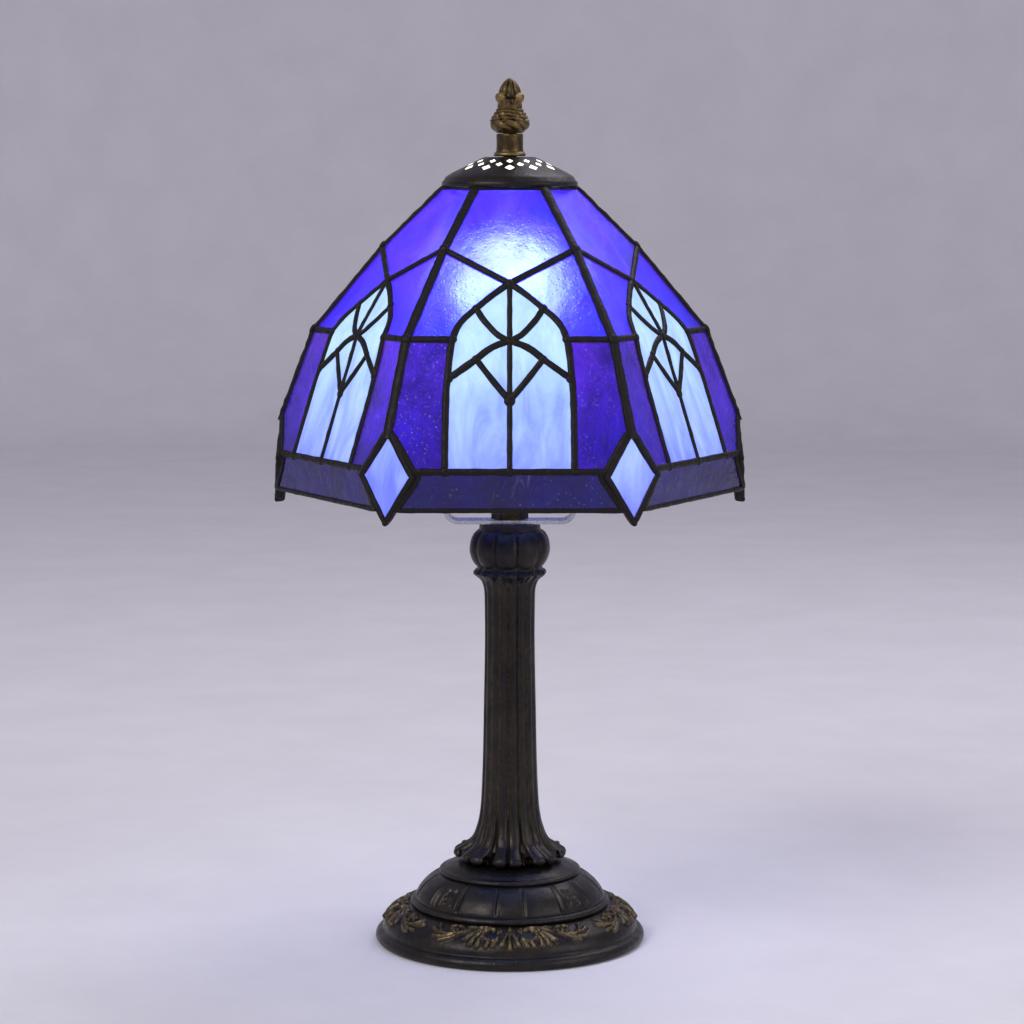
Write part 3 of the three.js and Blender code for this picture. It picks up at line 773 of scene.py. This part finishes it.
BAND_BOTTOM = (56.1, 6.7)
BAND_RADIUS = 50.0
BAND_LENGTH = 16.0
DOME_RADIUS = 37.0
PANEL_MIDDLE = 24.6
FOOT_LINE = [
    (57.3, 0.5, "corner"), (58.3, 0.6), (59.2, 1.5), (59.3, 2.6), (58.8, 3.9), (57.6, 4.9), (56.3, 5.3),
    (55.9, 5.9, "corner"), BAND_BOTTOM, (55.4, 8.8), (53.4, 11.2), (50.2, 13.3), (46.6, 14.9), (44.2, 15.6),
    (43.1, 15.8, "corner"), (43.7, 16.6), (43.7, 17.7), (42.9, 18.6), (41.7, 18.9, "corner"), (41.6, 20.0),
    (40.3, 22.5), (38.3, 25.0), (35.8, 27.2), (33.2, 28.9), (31.4, 29.7), (30.4, 30.0, "corner"),
    (31.0, 30.6), (31.0, 31.5), (30.2, 32.1), (28.9, 32.4, "corner"), (26.2, 33.9), (22.6, 35.2),
    (18.0, 36.0), (5.3, 36.6, "corner"), (5.3, 30.5, "corner"), (24.0, 31.2), (33.4, 24.6), (38.6, 17.2),
    (40.6, 13.6), (50.5, 8.8), (53.6, 1.8, "corner"), (57.3, 1.8, "corner"),
]


def spiral(centre, start_radius, end_radius, start, turns, count=14):
    """Points of a scroll about centre, from start degrees, wound by turns of a circle."""
    points = []
    for k in range(count + 1):
        t = k / count
        angle = math.radians(start + 360 * turns * t)
        radius = start_radius + (end_radius - start_radius) * t
        points.append((centre[0] + radius * math.cos(angle), centre[1] + radius * math.sin(angle)))
    return points


def acanthus_strokes():
    """Raised strokes of half an ornament: points (across, down from the band's top), widths and height."""
    strokes = [
        ([(0.0, 5.2), (0.0, 9.0), (0.0, 13.4)], 0.5, 1.05, 1.5),
        ([(0.9, 5.0), (2.0, 8.2), (3.3, 11.6)], 0.45, 1.15, 1.35),
        (spiral((8.0, 6.0), 3.9, 3.2, 150, -0.72), 0.55, 0.95, 1.5),
        (spiral((4.3, 3.9), 1.3, 0.5, -60, 0.9), 0.6, 0.45, 1.4),
        ([(5.0, 8.6), (6.2, 10.4), (6.9, 12.2)], 0.5, 1.1, 1.2),
        ([(8.2, 9.4), (9.2, 11.0), (9.6, 12.4)], 0.5, 1.0, 1.2),
        ([(11.4, 6.0), (12.6, 9.2), (13.2, 12.4)], 0.5, 1.1, 1.3),
        ([(12.0, 4.4), (14.6, 8.4), (16.2, 12.2)], 0.5, 1.05, 1.35),
        ([(12.4, 3.4), (16.4, 6.6), (19.0, 10.4)], 0.55, 1.0, 1.3),
        ([(8.6, 2.2), (13.6, 2.4), (19.0, 5.6), (26.5, 8.2), (31.5, 7.4)], 0.9, 0.6, 1.5),
        ([(20.4, 6.2), (25.0, 9.8), (29.6, 11.8)], 0.6, 1.0, 1.3),
        ([(23.0, 7.2), (28.0, 9.6), (33.0, 10.2)], 0.6, 1.0, 1.25),
        ([(28.0, 8.0), (32.0, 7.8), (36.2, 5.6)], 0.6, 1.1, 1.35),
        ([(29.0, 7.8), (32.0, 5.8), (33.8, 2.9)], 0.5, 0.9, 1.2),
        (spiral((26.0, 4.2), 2.5, 0.7, 100, 1.15), 0.6, 0.5, 1.3),
        ([(19.6, 4.4), (22.0, 2.6), (24.2, 2.0)], 0.5, 0.7, 1.1),
        ([(14.6, 2.0), (17.2, 1.4), (19.6, 2.2)], 0.6, 0.45, 0.9),
    ]
    bead = [([(0.0, 3.0), (0.0, 3.3)], 0.95, 0.95, 1.5), ([(0.0, 1.0), (0.0, 1.3)], 0.6, 0.6, 1.0)]
    return strokes + bead


def scroll_panel_strokes():
    """Raised strokes in half a scroll panel, across and up from the panel's middle."""
    return [
        ([(2.4, -3.8), (2.0, -1.8), (2.4, 0.4), (1.6, 2.6), (2.6, 4.2)], 0.5, 0.55, 0.8),
        ([(0.6, 3.9), (1.8, 3.6), (3.2, 4.3)], 0.45, 0.5, 0.7),
        ([(0.7, -0.4), (2.0, -0.2)], 0.5, 0.5, 0.7),
        (spiral((1.9, -3.2), 1.2, 0.5, 180, 0.8, 8), 0.45, 0.4, 0.8),
    ]


def stroke_relief(x, y, strokes):
    """Height of the raised strokes at each (x, y)."""
    height = np.zeros_like(x)
    for points, start, end, tall in strokes:
        line = smooth_line(points, 0.5)
        for (px, py), t in zip(line, np.linspace(0, 1, len(line))):
            width = start + (end - start) * t
            near = 1 - ((x - px) ** 2 + (y - py) ** 2) / width ** 2
            height = np.maximum(height, tall * np.sqrt(np.clip(near, 0, 1)))
    return height


def foot_relief(azimuth, line):
    """Leaves round the lower band, and grooves and scroll panels round the dome, four times about."""
    radius, z = line[:, :1], line[:, 1:]
    outside = (np.arange(len(line)) <= int(np.argmax(line[:, 1])))[:, None]
    quarter = lobes(azimuth, 4, 0) * math.pi / 2
    along = np.cumsum(np.hypot(*np.diff(line, axis=0, prepend=line[:1]).T))[:, None]
    start = along[np.argmin(np.hypot(line[:, 0] - BAND_BOTTOM[0], line[:, 1] - BAND_BOTTOM[1]))]
    down = BAND_LENGTH - (along - start) + 0 * azimuth
    in_band = outside & (z > 6.2) & (z < 15.8) & (radius > 43.5)
    x = np.abs(quarter) * BAND_RADIUS + 0 * z
    leaves = np.where(in_band, stroke_relief(x, down, acanthus_strokes()), 0)
    in_dome = outside & (z > 19.4) & (z < 29.9) & (radius > 30.6)
    degrees = np.degrees(np.abs(quarter)) + 0 * z
    fade = soften(19.4, 20.6, z) * (1 - soften(28.8, 29.8, z))
    grooves = -0.7 * fade * (bump_at(degrees, 9.2, 0.8) + bump_at(degrees, 33.4, 0.9))
    framed = 0.45 * fade * bump_at(degrees, 35.6, 0.9)
    sunk = -0.4 * fade * soften(36.4, 37.4, degrees)
    panel_x = np.abs(45 - degrees) * math.radians(1) * DOME_RADIUS
    panel_y = (z - PANEL_MIDDLE) * 1.35 + 0 * azimuth
    scroll = stroke_relief(panel_x, panel_y, scroll_panel_strokes())
    dome = np.where(in_dome, grooves + framed + sunk + scroll * (degrees > 36.5), 0)
    wear = np.clip(leaves * 0.75, 0, 1) * in_band + 0.35 * np.clip(scroll, 0, 1) * in_dome
    rims = 0.3 * (bump_at(z, 17.2, 0.8) + bump_at(z, 31.2, 0.5)) * outside
    grit = 0.12 * soften(0.1, 0.5, np.abs(lobes(azimuth, 37, 0.4)))
    return leaves + dome, np.clip(wear + rims * grit * 4, 0, 1)


def build_foot():
    turned_piece("base_foot", FOOT_LINE, BRONZE, "stand", "bronze", 720, foot_relief, 0.55)
    pad = [(0.01, 0.0, "corner"), (56.2, 0.0), (56.9, 0.6), (56.7, 1.5, "corner"), (0.01, 1.5, "corner")]
    turned_piece("felt_pad", pad, FELT, "stand", "felt", 96, step=6.0)
    washer = cornered((5.3, 28.6), (13.7, 28.6), (14.0, 28.9), (14.0, 29.9), (13.7, 30.2), (5.3, 30.2))
    turned_piece("base_washer", washer, STEEL, "stand", "steel", 64, step=4.0)
    rear = Matrix.Translation((0, 0, 10)) @ Matrix.Rotation(-math.pi / 2, 4, "X")
    bush = [(2.6, 45.0, "corner"), (3.7, 45.0, "corner"), (3.7, 56.4), (3.3, 57.2), (2.9, 57.2), (2.6, 56.6)]
    turned_piece("cord_grommet", bush, RUBBER, "stand", "rubber", 40, step=0.6, place=rear)


# ---------- column ----------

COLUMN_LINE = [
    (5.3, 36.9, "corner"), (21.4, 36.6), (24.0, 37.0), (24.9, 38.3), (24.3, 40.2), (21.4, 42.0), (18.0, 44.0),
    (16.2, 46.4), (15.0, 49.6), (13.8, 54.0), (12.8, 62.0), (12.0, 80.0), (11.5, 105.0), (11.0, 133.0),
    (11.1, 150.0), (11.4, 156.0), (12.6, 159.6), (14.8, 161.6), (16.2, 162.9), (15.8, 164.3), (14.4, 164.9),
    (14.3, 165.8, "corner"), (16.2, 168.0), (17.5, 171.4), (17.7, 174.4), (17.1, 178.0), (15.4, 181.0),
    (13.4, 182.2, "corner"), (13.2, 184.6, "corner"), (5.3, 184.6, "corner"), (5.3, 174.0), (8.0, 170.0),
    (8.0, 50.0), (5.3, 45.0),
]
PETALS, RIBS, KNOB_LOBES = 8, 16, 10
PETAL_TURN = math.radians(-2.6)
KNOB_TURN = math.radians(-5.8)


def column_relief(azimuth, line):
    """Petals over the foot, ribs up the shaft, a leafy collar and a lobed knob."""
    radius, z = line[:, :1], line[:, 1:]
    outside = (np.arange(len(line)) < int(np.argmax(line[:, 1])))[:, None] & (radius > 9)
    petal = np.abs(lobes(azimuth, PETALS, PETAL_TURN))
    rib = np.abs(lobes(azimuth, RIBS, PETAL_TURN + math.pi / RIBS))
    knob = np.abs(lobes(azimuth, KNOB_LOBES, KNOB_TURN))
    at_tips = 1 - soften(41.0, 47.0, z)
    at_foot = 1 - soften(44.0, 62.0, z)
    gap = soften(0.34, 0.44, petal)
    leaf = bump_at(petal, 0.5, 0.035) * soften(36.0, 37.5, z) * (1 - soften(42.0, 52.0, z))
    crease = 1.3 * bump_at(petal, 0, 0.05)
    tips = at_tips * (-4.2 * gap + 2.6 * leaf - crease - 2.4 * (petal / 0.42) ** 4 * (1 - gap))
    flare = at_foot * (-1.6 * bump_at(petal, 0.5, 0.06) - 0.7 * bump_at(petal, 0, 0.05))
    shaft = soften(42.0, 50.0, z) * (1 - soften(157.0, 163.0, z))
    fillet = -0.35 * bump_at(rib, 0.3, 0.035)
    ribs = shaft * (1.15 * (rounded(rib) - 1) + fillet)
    at_collar = soften(158.5, 161.5, z) * (1 - soften(164.6, 165.0, z))
    collar = at_collar * (1.5 * (rounded(knob) - 1) - 0.5 * bump_at(knob, 0, 0.06))
    at_knob = soften(165.0, 166.5, z) * (1 - soften(181.0, 182.2, z))
    swell = at_knob * 1.9 * (rounded(knob) ** 0.8 - 1)
    lines = shaft * bump_at(rib, 0.5, 0.045) * 0.9 + shaft * bump_at(rib, 0.3, 0.03) * 0.35
    edges = at_tips * bump_at(petal, 0.36, 0.03) * 0.4 + at_knob * bump_at(knob, 0.5, 0.025) * 0.8
    rim = at_collar * bump_at(z, 163.2, 0.7) * 0.4
    wear = np.clip((lines + edges + rim) * outside, 0, 1)
    return np.where(outside, tips + flare + ribs + collar + swell, 0), wear


def build_column():
    turned_piece("column", COLUMN_LINE, BRONZE, "stand", "bronze", 320, column_relief, 1.1)
    pipe = cornered((3.3, 20.0), (4.5, 20.0), (4.8, 20.5), (4.8, 196.5), (4.5, 197.0), (3.3, 197.0))
    turned_piece("lamp_pipe", pipe, STEEL, "stand", "steel", 40, step=4.0)


# ---------- harp, socket and bulb ----------

HARP_HALF = [(7.0, 337.4), (12.5, 333.0), (17.5, 326.0), (26.5, 311.0), (32.5, 294.0), (35.3, 272.0),
             (35.3, 250.0), (33.4, 225.0), (31.0, 205.0), (31.0, 193.6)]
HARP_TOP = (0.0, 338.2)
HARP_WIRE = 1.6


def build_harp():
    line = smooth_line([*mirrored(HARP_HALF[::-1]), HARP_TOP, *HARP_HALF], 3.0)
    turns = np.linspace(0, 2 * math.pi, 14, endpoint=False)
    ring = [(HARP_WIRE * math.cos(a), HARP_WIRE * math.sin(a)) for a in turns]
    tube = sweep([(x, 0, z) for x, z in line], [(0, 1, 0)] * len(line), lambda i: ring)
    pad_line = cornered((2.7, 336.5), (6.7, 336.5), (7.0, 336.8), (7.0, 339.4), (6.7, 339.7), (2.7, 339.7))
    pad_points, pad_faces, _ = revolve(smooth_line(pad_line, 2.0, True), 48)
    points, faces = joined([tube, (pad_points, pad_faces)])
    make_piece("harp_loop", points, faces, NICKEL, "stand", "nickel", ("harp_loop",))
    stud = cornered((0.01, 334.0), (3.6, 334.0), (4.0, 334.5), (4.0, 335.7), (2.2, 335.7), (2.2, 340.0),
                    (9.3, 340.0), (9.5, 340.3), (9.5, 341.5), (9.3, 341.8), (3.1, 341.8), (3.1, 356.8),
                    (2.6, 357.4), (0.01, 357.4))
    turned_piece("harp_stud", stud, BRASS, "harp_swivel", "brass", 48, thread_relief, 0.35, closed=False)


def thread_relief(azimuth, line):
    """A fine screw thread on the stretch above the disc."""
    z = line[:, 1:]
    on_screw = (z > 342.4) & (z < 356.6) & (line[:, :1] > 2.5)
    wave = 0.16 * np.cos(2 * math.pi * z / 1.0 - azimuth)
    return np.where(on_screw, wave - 0.1, 0), 0.3 * on_screw * (wave > 0)


def screw_shell_relief(azimuth, line):
    """The rolled thread of a lamp base."""
    z = line[:, 1:]
    on_screw = (z > 227.2) & (z < 242.8) & (line[:, :1] > 12.5)
    wave = 0.35 * np.cos(2 * math.pi * z / 3.6 - azimuth) - 0.35
    return np.where(on_screw, wave, 0), 0.4 * on_screw * (wave > -0.2)


def ribbed_relief(azimuth, line):
    """Grip ribs on the socket's shell."""
    z = line[:, 1:]
    on_grip = (line[:, :1] > 16.2) & (z > 222) & (z < 234)
    return np.where(on_grip, -0.35 * (np.cos(azimuth * 48) > 0), 0), 0.0 * z + 0.0 * azimuth


def build_socket():
    cap = cornered((5.3, 190.9), (8.5, 190.9), (9.6, 197.0), (12.8, 211.0), (16.4, 217.0), (16.4, 219.0),
                   (15.0, 219.0), (15.0, 217.6), (11.6, 212.0), (8.4, 198.6), (5.3, 198.6))
    turned_piece("socket_cap", cap, PHENOLIC, "stand", "phenolic", step=2.0)
    shell = cornered((15.2, 219.3), (16.4, 219.3), (16.4, 248.6), (16.0, 249.0), (15.4, 249.0), (15.2, 248.6))
    turned_piece("socket_shell", shell, PHENOLIC, "stand", "phenolic", 192, ribbed_relief)
    inner = cornered((0.01, 215.0), (10.5, 215.0), (14.5, 219.2), (14.5, 246.0), (13.5, 246.0), (13.5, 221.0),
                     (12.0, 218.0), (0.01, 218.0))
    turned_piece("socket_interior", inner, PORCELAIN, "stand", "porcelain", step=3.0, closed=False)


def build_bulb():
    contact = cornered((0.01, 218.4), (4.2, 218.4), (4.6, 219.4), (8.2, 222.0), (0.01, 222.0))
    turned_piece("bulb_contact", contact, BRASS, "bulb_riser", "phenolic", 48, closed=False)
    base = cornered((0.01, 222.4), (8.6, 222.4), (13.0, 225.6), (13.0, 244.0), (12.0, 244.0), (12.0, 226.4),
                    (8.2, 223.6), (0.01, 223.6))
    turned_piece("bulb_base", base, NICKEL, "bulb", "bulb_shell", 72, screw_shell_relief, 0.5, closed=False)
    middle = BULB_CENTRE[2]
    line = [(11.6, 228.0, "corner"), (11.6, 244.0), (12.6, 250.0), (14.0, 257.5)]
    for degrees in range(-40, 90, 8):
        angle = math.radians(degrees)
        line.append((BULB_RADIUS * math.cos(angle), middle + BULB_RADIUS * math.sin(angle)))
    line.append((0.01, middle + BULB_RADIUS))
    turned_piece("bulb_globe", line, BULB_LIT, "bulb", "bulb_glass", step=2.0, closed=False)


# ---------- cap and finial ----------

VENT_ROWS = [(14.5, 3.0, 0.0), (17.3, 3.2, 15.0), (20.0, 4.3, 0.0)]
VENTS = 12
VENTED = (0.0125, 0.0235)  # radii in metres that the vents lie between
RIM_TOP, VENTS_LOW = 0.333, 0.335  # heights in metres


def vent_punches():
    """One mesh of all the square punches, set cornerwise."""
    parts = []
    for radius, size, turn in VENT_ROWS:
        for k in range(VENTS):
            spin = Matrix.Rotation(2 * math.pi * k / VENTS + math.radians(turn), 4, "Z")
            ring = [spin @ Vector((size / 2 * math.sin(a), -radius - size / 2 * math.cos(a), 0))
                    for a in np.arange(4) * math.pi / 2]
            points = [p + Vector((0, 0, z)) for z in (325.0, 350.0) for p in ring]
            walls = [(i, (i + 1) % 4, (i + 1) % 4 + 4, i + 4) for i in range(4)]
            parts.append((points, [(3, 2, 1, 0), (4, 5, 6, 7), *walls]))
    points, faces = joined(parts)
    mesh = bpy.data.meshes.new("punches")
    mesh.from_pydata([tuple(c * MM for c in p) for p in points], [], faces)
    return in_scene("punches", mesh)


def build_cap():
    """The pierced cap, with painted light on its inner face and vent walls, and the ring soldered under it.
    """
    line = [(27.7, 331.1, "corner"), (28.8, 330.9), (29.3, 331.6), (29.2, 332.6), (28.4, 333.3, "corner"),
            (27.6, 334.7), (25.0, 336.4), (18.6, 339.6), (12.2, 342.7), (10.6, 343.3, "corner"),
            (3.6, 343.3, "corner"), (3.6, 342.1, "corner"), (10.2, 342.1), (26.9, 333.4, "corner")]
    cap = turned_piece("vented_cap", line, BRONZE, "shade", "bronze", 144, step=1.4)
    punches = vent_punches()
    cutter = cap.modifiers.new("vents", "BOOLEAN")
    cutter.operation = "DIFFERENCE"
    cutter.solver = "EXACT"
    cutter.object = punches
    bpy.context.view_layer.update()
    made = bpy.data.meshes.new_from_object(cap.evaluated_get(bpy.context.evaluated_depsgraph_get()))
    cap.modifiers.clear()
    cap.data = made
    made.materials.append(CAP_INSIDE)
    # Painted light: downward faces under the top, and the vent walls, take the pale glowing material
    for face in made.polygons:
        middle, facing = face.center, face.normal.z
        inward = facing < -0.6 and middle.z > RIM_TOP
        vented = VENTED[0] < middle.xy.length < VENTED[1] and middle.z > VENTS_LOW
        if inward or vented and abs(facing) < 0.8:
            face.material_index = 1
    bpy.data.objects.remove(punches)
    ring = cornered((19.4, 328.5), (21.0, 328.5), (21.0, 333.4), (19.4, 333.4))
    turned_piece("aperture_ring", ring, BRASS, "shade", "brass", step=1.5)


def collar_relief(azimuth, line):
    """No relief, only bright wear round the flange."""
    z = line[:, 1:] + 0 * azimuth
    return 0 * z, 0.75 * bump_at(z, 344.4, 0.9) * (line[:, :1] > 4) + 0.15


def finial_relief(azimuth, line):
    """Swirled gadroons on the bulb, curled leaf tips over the waist and grooves up the bud."""
    radius, z = line[:, :1], line[:, 1:]
    outside = (radius > 3.55) | (z > 369)
    swirl = lobes(azimuth + (z - 357) * 0.16, 9, 0.2)
    at_bulb = soften(354.0, 355.4, z) * (1 - soften(361.0, 363.5, z))
    gadroon = at_bulb * 0.9 * (rounded(swirl) - 0.75)
    at_bands = soften(357, 359, z) * (1 - soften(363.5, 365, z))
    bands = 0.35 * np.sin((z - 0.8 * np.cos(azimuth * 2 + 0.6)) * 4.2) * at_bands
    tips = np.abs(lobes(azimuth, 4, math.pi / 4))
    curl = soften(365.0, 368.4, z) * (1 - soften(369.4, 370.0, z))
    leaves = curl * (1.1 - 3.0 * soften(0.12, 0.4, tips))
    bud = np.abs(lobes(azimuth, 8, 0.1))
    grooved = soften(369.6, 370.6, z) * (1 - soften(375.4, 376.6, z)) * -0.75 * soften(0.22, 0.48, bud)
    height = gadroon + bands + leaves + grooved
    wear = np.clip(0.35 + height * 0.75, 0, 1)
    return np.where(outside, height, 0), np.where(outside, wear, 0)


def build_finial():
    collar = [(3.5, 343.6, "corner"), (6.6, 343.6), (6.9, 344.1), (6.7, 344.9), (6.0, 345.6), (5.75, 347.0),
              (5.7, 350.5), (5.75, 352.6), (5.4, 353.2, "corner"), (3.5, 353.2, "corner")]
    turned_piece("finial_collar", collar, BRASS, "finial_riser", "brass", 64, collar_relief, 0.5)
    bud = [(3.5, 353.5, "corner"), (5.4, 353.5), (6.4, 354.2), (7.9, 355.8), (8.3, 357.6), (7.9, 359.4),
           (6.8, 361.4), (5.7, 363.2), (5.3, 364.8), (5.7, 366.6), (6.3, 368.4), (6.0, 369.5), (4.8, 369.9),
           (4.7, 371.4), (4.0, 373.2), (2.6, 375.2), (1.0, 376.5), (0.01, 376.8, "corner")]
    bore = cornered((0.01, 358.6), (3.5, 358.6))
    turned_piece("finial", [*bud, *bore], BRASS, "finial_cap", "brass", 144, finial_relief, 0.4)


# ---------- carried-over metal ----------

def dress_frame_node(name, material, edge):
    """Gives a carried-over node its finish, with its hard edges eased."""
    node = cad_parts[name]
    node.data.materials.clear()
    node.data.materials.append(material)
    ease = node.modifiers.new("eased_edges", "BEVEL")
    ease.width = edge * MM
    ease.segments = 2
    ease.limit_method = "ANGLE"
    ease.angle_limit = math.radians(40)


def dress_frame():
    for name in ("harp_saddle", "harp_sleeve_left", "harp_sleeve_right"):
        dress_frame_node(name, NICKEL, 0.25)
    dress_frame_node("neck_nut", BRASS, 0.4)
    dress_frame_node("base_nut", STEEL, 0.4)


# ---------- studio ----------

LAMP_MIDDLE = (0, 0, 0.18)
SPOKES = 96


def pale_floor():
    m = Nodes("pale_floor", Roughness=0.9)
    m.mottle(14, 5, 0.35, 0.7, srgb(226, 223, 226), srgb(232, 229, 232))
    m.bump(m.grain(500, 4), 0.1, 0.0005)
    return m.material


def build_stage():
    """A round floor that curves up into a low wall, wide enough to stand behind any camera."""
    reach, rise, top = 2.3, 0.45, 1.1
    line = [(0.35 * reach, 0.0), (reach, 0.0)]
    for a in np.linspace(0, math.pi / 2, 13)[1:]:
        line.append((reach + rise * math.sin(a), rise - rise * math.cos(a)))
    line.append((reach + rise, top))
    turns = [2 * math.pi * k / SPOKES for k in range(SPOKES)]
    points = [(r * math.cos(a), r * math.sin(a), z) for r, z in line for a in turns]
    faces = [tuple(range(SPOKES))]
    for low in range(0, SPOKES * (len(line) - 1), SPOKES):
        high = low + SPOKES
        for k in range(SPOKES):
            beyond = (k + 1) % SPOKES
            faces.append((low + k, high + k, high + beyond, low + beyond))
    mesh = bpy.data.meshes.new("floor")
    mesh.from_pydata(points, [], faces)
    mesh.shade_smooth()
    mesh.materials.append(pale_floor())
    in_scene("floor", mesh)


def area_light(name, place, size, power, colour):
    data = bpy.data.lights.new(name, "AREA")
    data.shape = "DISK"
    data.size = size
    data.energy = power
    data.color = colour
    light = in_scene(name, data)
    light.location = place
    light.rotation_euler = (Vector(LAMP_MIDDLE) - Vector(place)).to_track_quat("-Z", "Y").to_euler()


def build_lights():
    area_light("key", (-1.1, -1.2, 1.5), 1.2, 19, (1.0, 0.98, 0.96))
    area_light("fill", (1.5, -0.9, 0.9), 1.4, 9, (0.93, 0.94, 1.0))
    area_light("rim", (0.5, 0.6, 1.3), 0.8, 6, (0.9, 0.88, 1.0))
    world = bpy.data.worlds.new("studio")
    world.use_nodes = True
    sky = world.node_tree.nodes["Background"]
    sky.inputs["Color"].default_value = srgb(214, 212, 232)
    sky.inputs["Strength"].default_value = 0.46
    bpy.context.scene.world = world
    bpy.context.scene.view_settings.view_transform = "Standard"


def build_camera():
    data = bpy.data.cameras.new("camera")
    data.lens = 105.6
    data.sensor_width = 36
    camera = in_scene("camera", data)
    camera.location = (0.00095, -1.3, 0.3437)
    camera.rotation_euler = (math.radians(83.24), 0, 0)
    bpy.context.scene.camera = camera


build_camera()
build_stage()
build_lights()
build_foot()
build_column()
build_harp()
build_socket()
build_bulb()
build_leading()
build_panes()
build_cap()
build_finial()
dress_frame()
